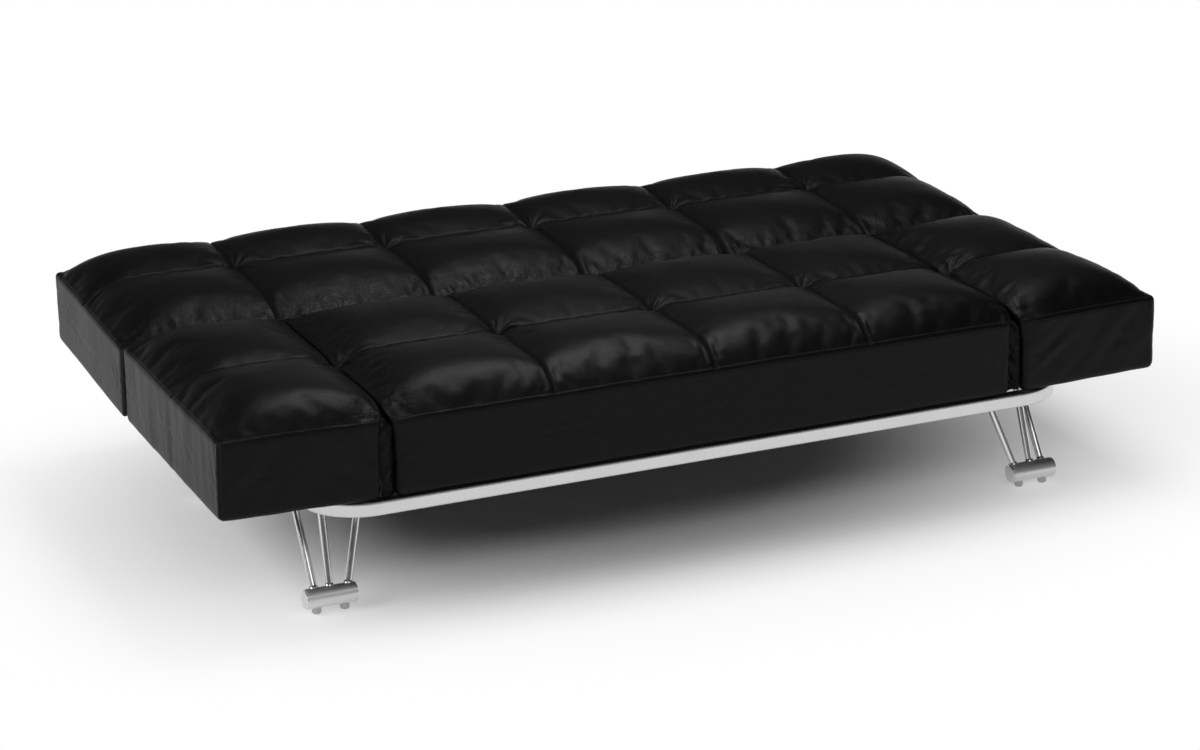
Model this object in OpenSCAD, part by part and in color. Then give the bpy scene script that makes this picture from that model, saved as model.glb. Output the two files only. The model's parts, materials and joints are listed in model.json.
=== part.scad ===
// Three-part folding sofa bed: a tufted seat on a bent tube rail with rod legs,
// a full-width back that folds up on click-stop hinges, and two fold-up arms.
// X runs along the length, the front faces -Y, and the floor is at Z = 0.

/* [Upholstery] */
// Length over both arms
bed_length = 1785; // [1740:5:1830]
// Length of the seat between the two arm joints
seat_length = 1200; // [1160:20:1240]
// Depth of the seat, from its front face to the joint with the back
seat_depth = 559; // [550:1:575]
// Depth of the back panel, from the joint to its rear face
back_depth = 457; // [440:1:480]
// Distance from the front face to the seam between the two seat rows
seat_row_depth = 263; // [250:1:275]
// Distance from the joint to the seam between the two back rows
back_row_depth = 262; // [250:1:275]
// Number of tufted columns on the seat
seat_columns = 4; // [4:1:5]
// Height of the top perimeter seam above the floor
seam_height = 349; // [345:1:355]
// Height of the padded sides below that seam
side_height = 135.5; // [133:0.5:136]
// Rise of each padded cell above the perimeter seam
crown_rise = 66; // [50:1:70]
// Rise of the column grooves above the perimeter seam
column_groove_rise = 29; // [20:1:32]
// Rise of the row seams above the perimeter seam
row_seam_rise = 36; // [34:1:40]
// Thickness of the padded sides round each frame
skirt = 12; // [10:1:12]

/* [Joints] */
// Gap between the seat and each arm
arm_gap = 24; // [22:1:28]
// Gap between the seat and the back
back_gap = 16; // [14:1:20]
// Distance of the back pivot behind the joint
back_pivot_offset = 38; // [36:1:42]
// Depth of the back pivot below the perimeter seam
back_pivot_drop = 5; // [0:1:6]
// Depth of the arm pivots below the perimeter seam
arm_pivot_drop = 10; // [4:1:11]
// Upward tilt of the back when it lies flat
back_tilt = 2.7; // [2:0.1:3.5]
// Upward tilt of the arms when they lie flat
arm_tilt = 1.2; // [0.8:0.1:2]
// Lift of the back's padding over the seat's
back_lift = 1.7; // [1:0.1:3]
// Travel of the back from flat to upright
back_travel = 68; // [60:1:70]
// Travel of each arm from flat to upright
arm_travel = 80; // [70:1:80]

/* [Base] */
// Width and height of the chrome rail
rail_size = 25; // [22:1:26]
// Height of the rail's underside above the floor
rail_bottom = 187; // [184:1:187]
// Length of the rail loop
rail_length = 1450; // [1400:10:1500]
// Depth of the rail loop
rail_depth = 750; // [720:10:780]
// Outer radius of the loop's corners
rail_corner = 105; // [95:1:115]
// Diameter of the leg rods
rod_diameter = 13; // [12:0.5:14]
// Diameter of the foot bars
foot_diameter = 35; // [32:1:36]
// Length of the foot bars
foot_length = 86; // [80:1:90]
// Distance of each foot bar from the middle of the length
foot_x = 686; // [670:1:690]
// Distance of each foot bar from the loop's front or rear face
foot_inset = 80; // [75:1:85]

/* [Frames] */
// Size of the square frame tubes inside the pads
tube_size = 25; // [25:1:25]
// Wall thickness of the tubes
tube_wall = 2; // [1.5:0.5:2.5]
// Width of one slat
slat_width = 63; // [53:1:63]
// Thickness of one slat
slat_thickness = 8; // [8:1:8]
// Upward bow of one slat
slat_bow = 8; // [6:1:8]
// Spacing of the slats
slat_pitch = 98; // [96:1:98]

/* [Hinges] */
// Thickness of the hinge plates
plate_thickness = 4; // [4:0.5:4]
// Thickness of the ratchet wheels
wheel_thickness = 5; // [5:0.5:5]
// Radius of the wheels and of the plates' eyes
wheel_radius = 20; // [19:0.5:20]
// Depth of the ratchet teeth
tooth_depth = 3.2; // [2.5:0.1:3.5]
// Number of teeth on a wheel
tooth_count = 6; // [5:1:7]
// Diameter of the hinge pins
pin_diameter = 10; // [9:0.5:10]

/* [Hidden] */
// Front face, joint and rear face, counted from the middle of the depth
front_y = -(seat_depth + back_depth + 5.6) / 2;
joint_y = front_y + seat_depth;
rear_y = joint_y + back_depth;
rail_y0 = front_y;
rail_y1 = front_y + rail_depth;
half_length = bed_length / 2;
seat_half = seat_length / 2;
seat_end = seat_half - arm_gap / 2;
arm_start = seat_half + arm_gap / 2;
seat_rear = joint_y - back_gap / 2;
back_front = joint_y + back_gap / 2;
column = seat_length / seat_columns;

// Heights
rail_top = rail_bottom + rail_size;
pad_bottom = seam_height - side_height;
seat_tube_z = rail_top;
folding_tube_z = rail_top + 3;
joint_seam_rise = 4;
arc_steps = 6;

// Slats and the roof of each pad's hollow, above the tubes' top
slat_lift = 3;
holder_height = 13;
holder_length = 30;
hollow_height = slat_lift + slat_thickness + slat_bow;
panel_thickness = 9;

// Pivots
back_pivot = [0, joint_y + back_pivot_offset, seam_height - back_pivot_drop];
arm_pivot = [seat_half, 0, seam_height - arm_pivot_drop];

// Hinge layers, counted along each pin from the moving plate's outer face
layer_gap = 0.5;
fixed_layer = plate_thickness + wheel_thickness + layer_gap;
hinge_width = fixed_layer + plate_thickness;
pin_play = 0.05;
head_gap = 0.3;
// The fixed plate of each back hinge lies on the inner side of the seat tube
back_hinge_x = seat_end - skirt - tube_size - hinge_width;
back_rib_x = back_hinge_x - tube_size;
arm_hinge_ys = [front_y + 56, front_y + 470];
back_neck = [-65, -112];
arm_neck = [-14, -102];
flange_length = 44;
pawl_reach = 32;
pawl_swing = 27;

cross_bar_ys = [rail_y0 + 131.5, front_y + 480, rail_y1 - 131.5];
glide_height = 9;
foot_z = 27;
bolt_diameter = 8;
bolt_play = 0.25;
rivet_diameter = 6;
leg_plate_thickness = 4;
leg_plate_z = rail_bottom - leg_plate_thickness;
weld_size = 2.5;
washer_thickness = 1.2;

// ---------- Helpers ----------

// Draws its children on the right side, or mirrored on the left
module on_side(side) {
    if (side > 0) children();
    else mirror([1, 0, 0]) children();
}

// Draws its children on both sides
module both_sides() {
    for (side = [-1, 1]) on_side(side) children();
}

// Tilts the back, or the right arm, to its rest position about its own pivot
module back_rest() {
    translate(back_pivot) rotate([back_tilt, 0, 0]) translate(-back_pivot) children();
}

module arm_rest() {
    translate(arm_pivot) rotate([0, -arm_tilt, 0]) translate(-arm_pivot) children();
}

// A block given by its lowest and highest corners
module block(low, high) {
    translate(low) cube(high - low);
}

// Extrudes a profile drawn in X and Z from y0 to y1
module extrude_y(y0, y1) {
    translate([0, y1, 0]) rotate([90, 0, 0]) linear_extrude(height = y1 - y0) children();
}

// Extrudes a profile drawn in Y and Z from x0 to x1
module extrude_x(x0, x1) {
    translate([x0, 0, 0]) rotate([90, 0, 90]) linear_extrude(height = x1 - x0) children();
}

// Points of the arc over the chord from a to b, whose top is at the height crown
function arc_points(a, b, crown) =
    let (chord = norm(b - a), sag = crown - (a[1] + b[1]) / 2)
    let (radius = (chord * chord / 4 + sag * sag) / (2 * sag))
    let (along = (b - a) / chord, up = [-along[1], along[0]])
    let (centre = (a + b) / 2 + up * (sag - radius), half = asin(chord / 2 / radius))
    [for (i = [0:arc_steps])
        let (t = half * (2 * i / arc_steps - 1))
        centre + radius * (cos(t) * up + sin(t) * along)];

// A row of arcs through the given points
function cell_points(edges) =
    [for (k = [0:len(edges) - 2])
        let (arc = arc_points(edges[k], edges[k + 1], seam_height + crown_rise))
        for (i = [(k == 0 ? 0 : 1):arc_steps]) arc[i]];

// Points of a quarter turn round a centre, from one angle to another
function corner_points(centre, radius, from, to, steps = 4) =
    [for (i = [0:steps])
        let (t = from + (to - from) * i / steps)
        centre + radius * [cos(t), sin(t)]];

// A hollow rectangular tube along X or Y between two corners
module tube_x(x0, x1, y, z, size = tube_size) {
    difference() {
        block([x0, y, z], [x1, y + size, z + size]);
        block([x0 - 1, y + tube_wall, z + tube_wall],
              [x1 + 1, y + size - tube_wall, z + size - tube_wall]);
    }
}

module tube_y(x, y0, y1, z, size = tube_size) {
    difference() {
        block([x, y0, z], [x + size, y1, z + size]);
        block([x + tube_wall, y0 - 1, z + tube_wall],
              [x + size - tube_wall, y1 + 1, z + size - tube_wall]);
    }
}

// A flat strip between two points in a plane
module strip(p, q, width) {
    along = (q - p) / norm(q - p);
    across = [-along[1], along[0]] * width / 2;
    polygon([p + across, q + across, q - across, p - across]);
}

// ---------- Rail and cross bars ----------

// Cross-section of the rail, measured inwards from the loop's outer face
module rail_section(inset) {
    r = 3.5;
    a = inset;
    b = rail_size - inset;
    polygon(inset > 0 ? [[a, a], [b, a], [b, b], [a, b]] : concat(
        corner_points([r, r], r, 180, 270, 3), corner_points([b - r, r], r, 270, 360, 3),
        corner_points([b - r, b - r], r, 0, 90, 3), corner_points([r, b - r], r, 90, 180, 3)));
}

module rail_run(length, inset) {
    rotate([90, 0, 90]) linear_extrude(height = length) rail_section(inset);
}

module rail_loop(inset) {
    run_x = rail_length - 2 * rail_corner;
    run_y = rail_depth - 2 * rail_corner;
    for (turn = [0, 180])
        translate([0, (rail_y0 + rail_y1) / 2, rail_bottom]) rotate([0, 0, turn]) {
            translate([-run_x / 2, -rail_depth / 2, 0]) rail_run(run_x, inset);
            translate([rail_length / 2, -run_y / 2, 0]) rotate([0, 0, 90]) rail_run(run_y, inset);
            translate([run_x / 2, -run_y / 2, 0]) rotate([0, 0, -90])
                rotate_extrude(angle = 90, $fn = 64)
                    translate([rail_corner, 0]) mirror([1, 0]) rail_section(inset);
            translate([run_x / 2, run_y / 2, 0])
                rotate_extrude(angle = 90, $fn = 64)
                    translate([rail_corner, 0]) mirror([1, 0]) rail_section(inset);
        }
}

module chrome_rail() {
    color("silver") difference() {
        rail_loop(0);
        at_leg_bolts() bolt_hole();
    }
}

module cross_bar(index) {
    color("dimgray") difference() {
        tube_x(-rail_length / 2 + rail_size, rail_length / 2 - rail_size,
               cross_bar_ys[index] - rail_size / 2, rail_bottom, rail_size);
        at_leg_bolts() bolt_hole();
        at_seat_bolts() bolt_hole();
    }
}

// ---------- Legs ----------

// Places its children at one leg: front or rear, left or right
module at_leg(front, side) {
    on_side(side) {
        if (front) children();
        else translate([0, rail_y0 + rail_y1, 0]) mirror([0, 1, 0]) children();
    }
}

module at_all_legs() {
    for (front = [true, false], side = [-1, 1]) at_leg(front, side) children();
}

foot_y = rail_y0 + foot_inset;
// Each rod runs from the foot bar's axis to the underside of the leg plate
rod_feet = [[foot_x + 26, foot_y, foot_z], [foot_x, foot_y, foot_z], [foot_x - 30, foot_y, foot_z]];
rod_tops = [[712, rail_y0 + 184, leg_plate_z], [680, rail_y0 + 132, leg_plate_z],
            [609, rail_y0 + 131, leg_plate_z]];

module rod_between(a, b, diameter) {
    d = b - a;
    translate(a) rotate([0, acos(d[2] / norm(d)), atan2(d[1], d[0])]) rotate([0, 0, 90])
        cylinder(h = norm(d) + 6, d = diameter, $fn = 48);
}

// Weld beads round a rod, where it leaves the foot bar and where it meets the plate
module rod_welds(a, b, diameter) {
    d = b - a;
    lean = acos(d[2] / norm(d));
    foot_depth = foot_diameter / 2;
    translate(a) rotate([0, lean, atan2(d[1], d[0])]) {
        translate([0, 0, foot_depth - 2]) sphere(r = diameter / 2 + weld_size - 0.4, $fn = 48);
        translate([0, 0, norm(d) - weld_size - 0.5])
            cylinder(h = weld_size + 3, d1 = diameter - 1, d2 = diameter + 2 * weld_size, $fn = 48);
    }
}

leg_bolt_points = [[636, rail_y0 + 131.5], [655, rail_y0 + 131.5],
                   [712.5, rail_y0 + 137], [712.5, rail_y0 + 158]];

module at_leg_bolts() {
    at_all_legs() for (p = leg_bolt_points) translate([p[0], p[1], leg_plate_z]) children();
}

module bolt_hole() {
    translate([0, 0, -2]) cylinder(h = 20, d = bolt_diameter + 2 * bolt_play, $fn = 32);
}

// Three rods welded under an L-shaped plate
module leg(front, side) {
    color("silver") at_leg(front, side) {
        difference() {
            union() {
                difference() {
                    for (i = [0:2]) {
                        rod_between(rod_feet[i], rod_tops[i], rod_diameter);
                        rod_welds(rod_feet[i], rod_tops[i], rod_diameter);
                    }
                    block([foot_x - 200, rail_y0, leg_plate_z + 1],
                          [foot_x + 200, rail_y0 + 300, leg_plate_z + 60]);
                }
                block([592, rail_y0 + 119, leg_plate_z], [725, rail_y0 + 144, rail_bottom]);
                block([700, rail_y0 + 119, leg_plate_z], [725, rail_y0 + 203, rail_bottom]);
            }
            foot_solid();
            for (p = leg_bolt_points) translate([p[0], p[1], leg_plate_z]) bolt_hole();
        }
    }
}

module foot_solid(diameter = foot_diameter, margin = 0) {
    translate([foot_x - foot_length / 2 - margin, foot_y, foot_z]) rotate([0, 90, 0])
        cylinder(h = foot_length + 2 * margin, d = diameter, $fn = 64);
}

glide_spread = 25;
glide_stem = 7;

module foot_bar(front, side) {
    color("silver") at_leg(front, side) difference() {
        foot_solid();
        foot_solid(foot_diameter - 2 * tube_wall, 1);
        for (dx = [-glide_spread, glide_spread])
            translate([foot_x + dx, foot_y, 0]) cylinder(h = foot_z, d = glide_stem, $fn = 32);
    }
}

module foot_end_caps() {
    color("lightgray") at_all_legs() for (end = [-1, 1])
        translate([foot_x + end * foot_length / 2, foot_y, foot_z]) rotate([0, end * 90, 0]) {
            cylinder(h = 2, d = foot_diameter - 2, $fn = 64);
            translate([0, 0, 2]) cylinder(h = 1, d1 = foot_diameter - 2, d2 = foot_diameter - 6, $fn = 64);
            translate([0, 0, -8]) difference() {
                cylinder(h = 8.5, d = foot_diameter - 2 * tube_wall, $fn = 64);
                translate([0, 0, -1]) cylinder(h = 8, d = foot_diameter - 2 * tube_wall - 4, $fn = 64);
            }
        }
}

// Low round glides, saddled to the bars, each with a stem in the bar
module floor_glides() {
    color("gainsboro") at_all_legs() for (dx = [-glide_spread, glide_spread])
        translate([foot_x + dx, foot_y, 0]) {
            difference() {
                union() {
                    cylinder(h = 2, d1 = 13, d2 = 16, $fn = 48);
                    translate([0, 0, 2]) cylinder(h = foot_z - 11, d = 16, $fn = 48);
                }
                translate([-40, 0, foot_z]) rotate([0, 90, 0])
                    cylinder(h = 80, d = foot_diameter, $fn = 64);
            }
            translate([0, 0, 5]) cylinder(h = 12, d = glide_stem, $fn = 32);
        }
}

// ---------- Fasteners ----------

// A hexagon bolt with a chamfered head on a washer
module bolt(length) {
    translate([0, 0, -washer_thickness]) cylinder(h = washer_thickness, d = 16, $fn = 48);
    translate([0, 0, -washer_thickness - 5]) intersection() {
        cylinder(h = 5, d = 14, $fn = 6);
        union() {
            cylinder(h = 1.2, d1 = 11.4, d2 = 14.4, $fn = 48);
            translate([0, 0, 1.2]) cylinder(h = 4, d = 14.4, $fn = 48);
        }
    }
    translate([0, 0, -0.5]) cylinder(h = length, d = bolt_diameter, $fn = 32);
}

// A round rivet head on a hinge plate, with its shank in the plate
module rivet() {
    translate([0, 0, -2.4]) cylinder(h = 2.4, d1 = 7, d2 = 12, $fn = 48);
    translate([0, 0, -0.2]) cylinder(h = plate_thickness + 0.2, d = rivet_diameter, $fn = 32);
}

// The seat frame's side tubes are bolted down to the front and middle cross bars
module at_seat_bolts() {
    both_sides() for (y = [cross_bar_ys[0], cross_bar_ys[1]])
        translate([seat_end - skirt - tube_size / 2, y, seat_tube_z - 12]) children();
}

module frame_bolts() {
    color("dimgray") {
        at_leg_bolts() bolt(16);
        at_seat_bolts() translate([0, 0, 12 + tube_size]) mirror([0, 0, 1]) bolt(tube_size + 12);
        both_sides() at_back_hinge() translate([0, 0, fixed_layer]) at_back_plate_rivets() rivet();
    }
}

// ---------- Seat ----------

seat_frame_x = seat_end - skirt;
seat_frame_y0 = front_y + skirt;
seat_frame_y1 = seat_rear - skirt;

// The rear tube is shorter, because the back hinges' plates lie at its ends
module seat_cross_tube(y, end_gap) {
    reach = seat_frame_x - tube_size - end_gap;
    color("dimgray") tube_x(-reach, reach, y, seat_tube_z);
}

module seat_side_tube(side) {
    color("dimgray") difference() {
        on_side(side) tube_y(seat_frame_x - tube_size, seat_frame_y0, seat_frame_y1, seat_tube_z);
        at_seat_bolts() cylinder(h = 60, d = bolt_diameter + 2 * bolt_play, $fn = 32);
    }
}

// Outline of a bowed slat between two ends
function slat_outline(y0, y1, z) =
    let (top = arc_points_flat([y0, z + slat_thickness], [y1, z + slat_thickness]))
    let (bottom = arc_points_flat([y0, z], [y1, z]))
    concat(top, [for (i = [len(bottom) - 1:-1:0]) bottom[i]]);

function arc_points_flat(a, b) =
    [for (i = [0:8]) let (t = i / 8) [a[0] + (b[0] - a[0]) * t, a[1] + slat_bow * 4 * t * (1 - t)]];

module slats(count, y0, y1, z) {
    color("burlywood") for (i = [0:count - 1]) {
        x = (i - (count - 1) / 2) * slat_pitch;
        extrude_x(x - slat_width / 2, x + slat_width / 2) polygon(slat_outline(y0, y1, z));
    }
}

// Plastic shoes on the tubes that hold the slats' ends
module slat_holders(count, y0, y1, z) {
    color("black") for (i = [0:count - 1], end = [0, 1]) {
        x = (i - (count - 1) / 2) * slat_pitch;
        outer = end == 0 ? y0 : y1 - holder_length;
        difference() {
            block([x - slat_width / 2 - 3, outer, z],
                  [x + slat_width / 2 + 3, outer + holder_length, z + holder_height]);
            extrude_x(x - slat_width / 2, x + slat_width / 2)
                polygon(slat_outline(y0 + 4, y1 - 4, z + slat_lift));
        }
    }
}

seat_slat_count = 11;
back_slat_count = 17;

// A cushion block: arched cells along X and Y over a flat underside
module cushion(x_edges, y_edges, bottom, heel = 0) {
    x0 = x_edges[0][0];
    x1 = x_edges[len(x_edges) - 1][0];
    y0 = y_edges[0][0];
    y1 = y_edges[len(y_edges) - 1][0];
    foot = heel > 0 ? corner_points([y0 + heel, bottom + heel], heel, 270, 180) : [[y0, bottom]];
    intersection() {
        extrude_y(y0 - 5, y1 + 5)
            polygon(concat(cell_points(x_edges), [[x1, bottom], [x0, bottom]]));
        extrude_x(x0 - 5, x1 + 5)
            polygon(concat(cell_points(y_edges), [[y1, bottom]], foot));
    }
}

seat_x_edges = concat(
    [[-seat_end, seam_height + joint_seam_rise]],
    [for (i = [1:seat_columns - 1]) [i * column - seat_half, seam_height + column_groove_rise]],
    [[seat_end, seam_height + joint_seam_rise]]);
seat_y_edges = [[front_y, seam_height], [front_y + seat_row_depth, seam_height + row_seam_rise],
                [seat_rear, seam_height + joint_seam_rise]];
arm_x_edges = [[arm_start, seam_height + joint_seam_rise], [half_length, seam_height]];
back_x_edges = concat(
    [[-half_length, seam_height + back_lift]],
    [for (i = [0:seat_columns]) [i * column - seat_half, seam_height + column_groove_rise]],
    [[half_length, seam_height + back_lift]]);
back_y_edges = [[back_front, seam_height + joint_seam_rise],
                [joint_y + back_row_depth, seam_height + row_seam_rise],
                [rear_y, seam_height + back_lift]];

module seat_pad() {
    roof = seat_tube_z + tube_size + hollow_height;
    color("#1c1c1e") difference() {
        cushion(seat_x_edges, seat_y_edges, pad_bottom);
        block([-seat_frame_x, seat_frame_y0, pad_bottom - 1], [seat_frame_x, seat_frame_y1, roof]);
        both_sides() {
            // Slots for the necks of the back hinges
            block([back_hinge_x + fixed_layer - 2, seat_rear - 60, pad_bottom - 1],
                  [back_hinge_x + hinge_width + 2, seat_rear + 1, pad_bottom + 92]);
            // Pockets for the arm hinges and for the flanges along the seat tubes
            for (y = arm_hinge_ys) {
                block([seat_half - wheel_radius - 7, y - 2, pad_bottom - 1],
                      [seat_end + 1, y + hinge_width + 5, arm_pivot[2] + wheel_radius + 3]);
                block([seat_frame_x - 1, y + fixed_layer - flange_length - 2, pad_bottom - 1],
                      [seat_end + 1, y + hinge_width, seat_tube_z + tube_size + 1]);
            }
        }
    }
}

module seat_dust_cover() {
    color("#101010") difference() {
        block([-seat_frame_x + tube_size, seat_frame_y0 + tube_size, seat_tube_z + 2],
              [seat_frame_x - tube_size, seat_frame_y1 - tube_size, seat_tube_z + 3.5]);
        both_sides() block([back_hinge_x + fixed_layer, seat_rear - 160, seat_tube_z],
                           [seat_frame_x, seat_rear, seat_tube_z + 9]);
    }
}

// ---------- Hinges ----------

// A hinge seen along its pin: the pivot is the origin, the moving side is towards +X
function direction(v) = atan2(v[1], v[0]);
function polar(radius, angle) = radius * [cos(angle), sin(angle)];

module pin_hole(play) {
    circle(d = pin_diameter + 2 * play, $fn = 48);
}

// Toothed wheel: teeth on the stretch that passes the pawl, smooth elsewhere
module wheel_shape(neck, travel) {
    nose = direction(neck) - pawl_swing;
    first = nose - travel;
    pitch = (travel - 14) / tooth_count;
    difference() {
        circle(r = wheel_radius, $fn = 96);
        pin_hole(pin_play);
        for (i = [0:tooth_count - 1])
            polygon([polar(wheel_radius + 1, first + i * pitch),
                     polar(wheel_radius - tooth_depth, first + i * pitch + 1),
                     polar(wheel_radius + 1, first + (i + 0.8) * pitch)]);
    }
}

module pawl_shape(neck) {
    root_point = polar(pawl_reach, direction(neck));
    tip = polar(wheel_radius + 0.6, direction(neck) - pawl_swing);
    along = (tip - root_point) / norm(tip - root_point);
    across = [-along[1], along[0]] * 4.6;
    difference() {
        union() {
            translate(root_point) circle(r = 5.5, $fn = 48);
            polygon([root_point + across, tip, root_point - across]);
        }
        translate(root_point) circle(d = 5.1, $fn = 32);
    }
}

// Leaf spring, rolled round its rivet, that presses the pawl's nose towards the wheel
module spring_shape(neck) {
    heel = polar(pawl_reach + 17, direction(neck) - 4);
    bend = polar(pawl_reach + 6, direction(neck) - 24);
    nose = polar(wheel_radius + 8.6, direction(neck) - pawl_swing + 2);
    strip(heel, bend, 1.2);
    strip(bend, nose, 1.2);
    translate(bend) circle(r = 0.75, $fn = 24);
    translate(heel) circle(r = 3.4, $fn = 32);
}

// Plate on the seat's side: an eye, a neck and holes for the pawl's and spring's pins
module seat_plate_shape(neck, width) {
    difference() {
        union() {
            circle(r = wheel_radius, $fn = 96);
            strip([0, 0], neck, width);
        }
        pin_hole(0);
    }
}

// Places its children at a hinge, with Z along the pin
module at_back_hinge() {
    translate([back_hinge_x, back_pivot[1], back_pivot[2]]) rotate([90, 0, 90]) children();
}

module at_arm_hinge(y) {
    translate([arm_pivot[0], y + hinge_width, arm_pivot[2]]) rotate([90, 0, 0]) children();
}

module layer(from, thickness) {
    translate([0, 0, from]) linear_extrude(height = thickness) children();
}

// Rivets along the foot of the back hinge's plate, clear of the rear tube
module at_back_plate_rivets() {
    for (along = [-156, -124, -96]) translate([along, back_neck[1] - 7, 0]) children();
}

// The back hinge's plate runs down its neck to a foot riveted along the seat tube
module back_hinge_seat_plate(side) {
    color("slategray") on_side(side) {
        at_back_hinge() layer(fixed_layer, plate_thickness) difference() {
            union() {
                seat_plate_shape(back_neck, 22);
                strip([-168, back_neck[1] - 7], [back_neck[0] + 8, back_neck[1] - 7], 22);
                translate([-168, back_neck[1] - 7]) circle(d = 22, $fn = 64);
            }
            at_back_plate_rivets() circle(d = rivet_diameter + 0.2, $fn = 32);
        }
    }
}

module arm_hinge_seat_plates(side) {
    color("slategray") on_side(side) for (y = arm_hinge_ys) {
        at_arm_hinge(y) layer(0, plate_thickness) {
            seat_plate_shape(arm_neck, 18);
            strip([-seat_half + seat_frame_x, arm_neck[1] - 10], [arm_neck[0] + 9, arm_neck[1] - 10], 24);
        }
        // Flange along the seat tube
        block([seat_frame_x, y + fixed_layer - flange_length, seat_tube_z + 1],
              [seat_frame_x + plate_thickness, y + hinge_width, seat_tube_z + tube_size - 1]);
    }
}

module hinge_pawls() {
    color("darkgray") both_sides() {
        at_back_hinge() layer(plate_thickness + layer_gap, wheel_thickness) pawl_shape(back_neck);
        for (y = arm_hinge_ys)
            at_arm_hinge(y) layer(plate_thickness, wheel_thickness) pawl_shape(arm_neck);
    }
}

module pawl_springs() {
    color("lightsteelblue") both_sides() {
        at_back_hinge() layer(plate_thickness + layer_gap, wheel_thickness) spring_shape(back_neck);
        for (y = arm_hinge_ys)
            at_arm_hinge(y) layer(plate_thickness, wheel_thickness) spring_shape(arm_neck);
    }
}

// A riveted pin through both plates, and the pawl's small pin
module pin_set(neck, low) {
    translate([0, 0, -head_gap - 3]) cylinder(h = 3, d = 17, $fn = 48);
    translate([0, 0, -head_gap - 0.2])
        cylinder(h = hinge_width + 2 * head_gap + 0.4, d = pin_diameter, $fn = 48);
    translate([0, 0, hinge_width + head_gap]) cylinder(h = 2.5, d = 17, $fn = 48);
    p = polar(pawl_reach, direction(neck));
    translate([p[0], p[1], low]) cylinder(h = wheel_thickness, d = 5, $fn = 32);
}

module hinge_pins() {
    color("silver") both_sides() {
        at_back_hinge() pin_set(back_neck, plate_thickness + layer_gap);
        for (y = arm_hinge_ys) at_arm_hinge(y) pin_set(arm_neck, plate_thickness);
    }
}

// ---------- Back ----------

back_frame_x = half_length - skirt;
back_frame_y0 = back_front + skirt;
back_frame_y1 = rear_y - skirt;

module back_cross_tube(y) {
    color("dimgray") back_rest() tube_x(-back_frame_x, back_frame_x, y, folding_tube_z);
}

module back_long_tube(x) {
    color("dimgray") back_rest()
        tube_y(x, back_frame_y0 + tube_size, back_frame_y1 - tube_size, folding_tube_z);
}

module back_rib_tubes() {
    both_sides() back_long_tube(back_rib_x);
}

module back_pad() {
    roof = folding_tube_z + tube_size + hollow_height;
    color("#1c1c1e") back_rest() difference() {
        cushion(back_x_edges, back_y_edges, pad_bottom + 1, 20);
        block([-back_frame_x, back_frame_y0, pad_bottom], [back_frame_x, back_frame_y1, roof]);
        both_sides() {
            // Pocket for the hinge, open at the front where the seat plate swings
            block([back_hinge_x - 3.8, back_front - 1, pad_bottom],
                  [back_hinge_x + hinge_width + 4, back_pivot[1] + 62, back_pivot[2]]);
            block([back_hinge_x - 3.8, back_front - 1, back_pivot[2] - 1],
                  [back_hinge_x + hinge_width + 4, back_pivot[1], back_pivot[2] + 40]);
            translate([back_hinge_x - 3.8, back_pivot[1], back_pivot[2]]) rotate([0, 90, 0])
                cylinder(h = hinge_width + 7.8, r = wheel_radius + 3, $fn = 64);
        }
    }
}

module back_dust_cover() {
    color("#101010") back_rest() difference() {
        block([-back_frame_x + tube_size, back_frame_y0 + tube_size, folding_tube_z + 2],
              [back_frame_x - tube_size, back_frame_y1 - tube_size, folding_tube_z + 3.5]);
        both_sides() block([back_rib_x, back_frame_y0, folding_tube_z],
                           [back_hinge_x + plate_thickness, back_frame_y1, folding_tube_z + 9]);
    }
}

// The moving plate runs down from the eye and back along the rib tube
module back_hinge_arm(side) {
    foot_y0 = 34;
    foot_z0 = folding_tube_z + tube_size / 2 - back_pivot[2];
    color("slategray") on_side(side) back_rest() at_back_hinge() layer(0, plate_thickness) difference() {
        union() {
            circle(r = wheel_radius, $fn = 96);
            strip([0, 0], [foot_y0 + 14, foot_z0 + 4], 24);
            strip([foot_y0, foot_z0], [foot_y0 + 120, foot_z0], 21);
        }
        pin_hole(pin_play);
    }
}

module back_ratchet_wheels() {
    color("gray") both_sides() back_rest() at_back_hinge()
        layer(plate_thickness, wheel_thickness) wheel_shape(back_neck, back_travel + back_tilt);
}

// ---------- Arms ----------

arm_frame_x0 = arm_start + skirt;
arm_frame_x1 = half_length - skirt;

module arm_long_tube(side, x) {
    color("dimgray") on_side(side) arm_rest() tube_y(x, seat_frame_y0, seat_frame_y1, folding_tube_z);
}

module arm_end_tubes(side) {
    color("dimgray") on_side(side) arm_rest()
        for (y = [seat_frame_y0, seat_frame_y1 - tube_size])
            tube_x(arm_frame_x0 + tube_size, arm_frame_x1 - tube_size, y, folding_tube_z);
}

module arm_panel(side) {
    z = folding_tube_z + tube_size;
    color("burlywood") on_side(side) arm_rest() difference() {
        block([arm_frame_x0, seat_frame_y0, z], [arm_frame_x1, seat_frame_y1, z + panel_thickness]);
        for (y = arm_hinge_ys)
            block([arm_frame_x0 - 1, y - 2, z - 1], [arm_frame_x0 + 8, y + hinge_width + 2, z + 20]);
    }
}

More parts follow.
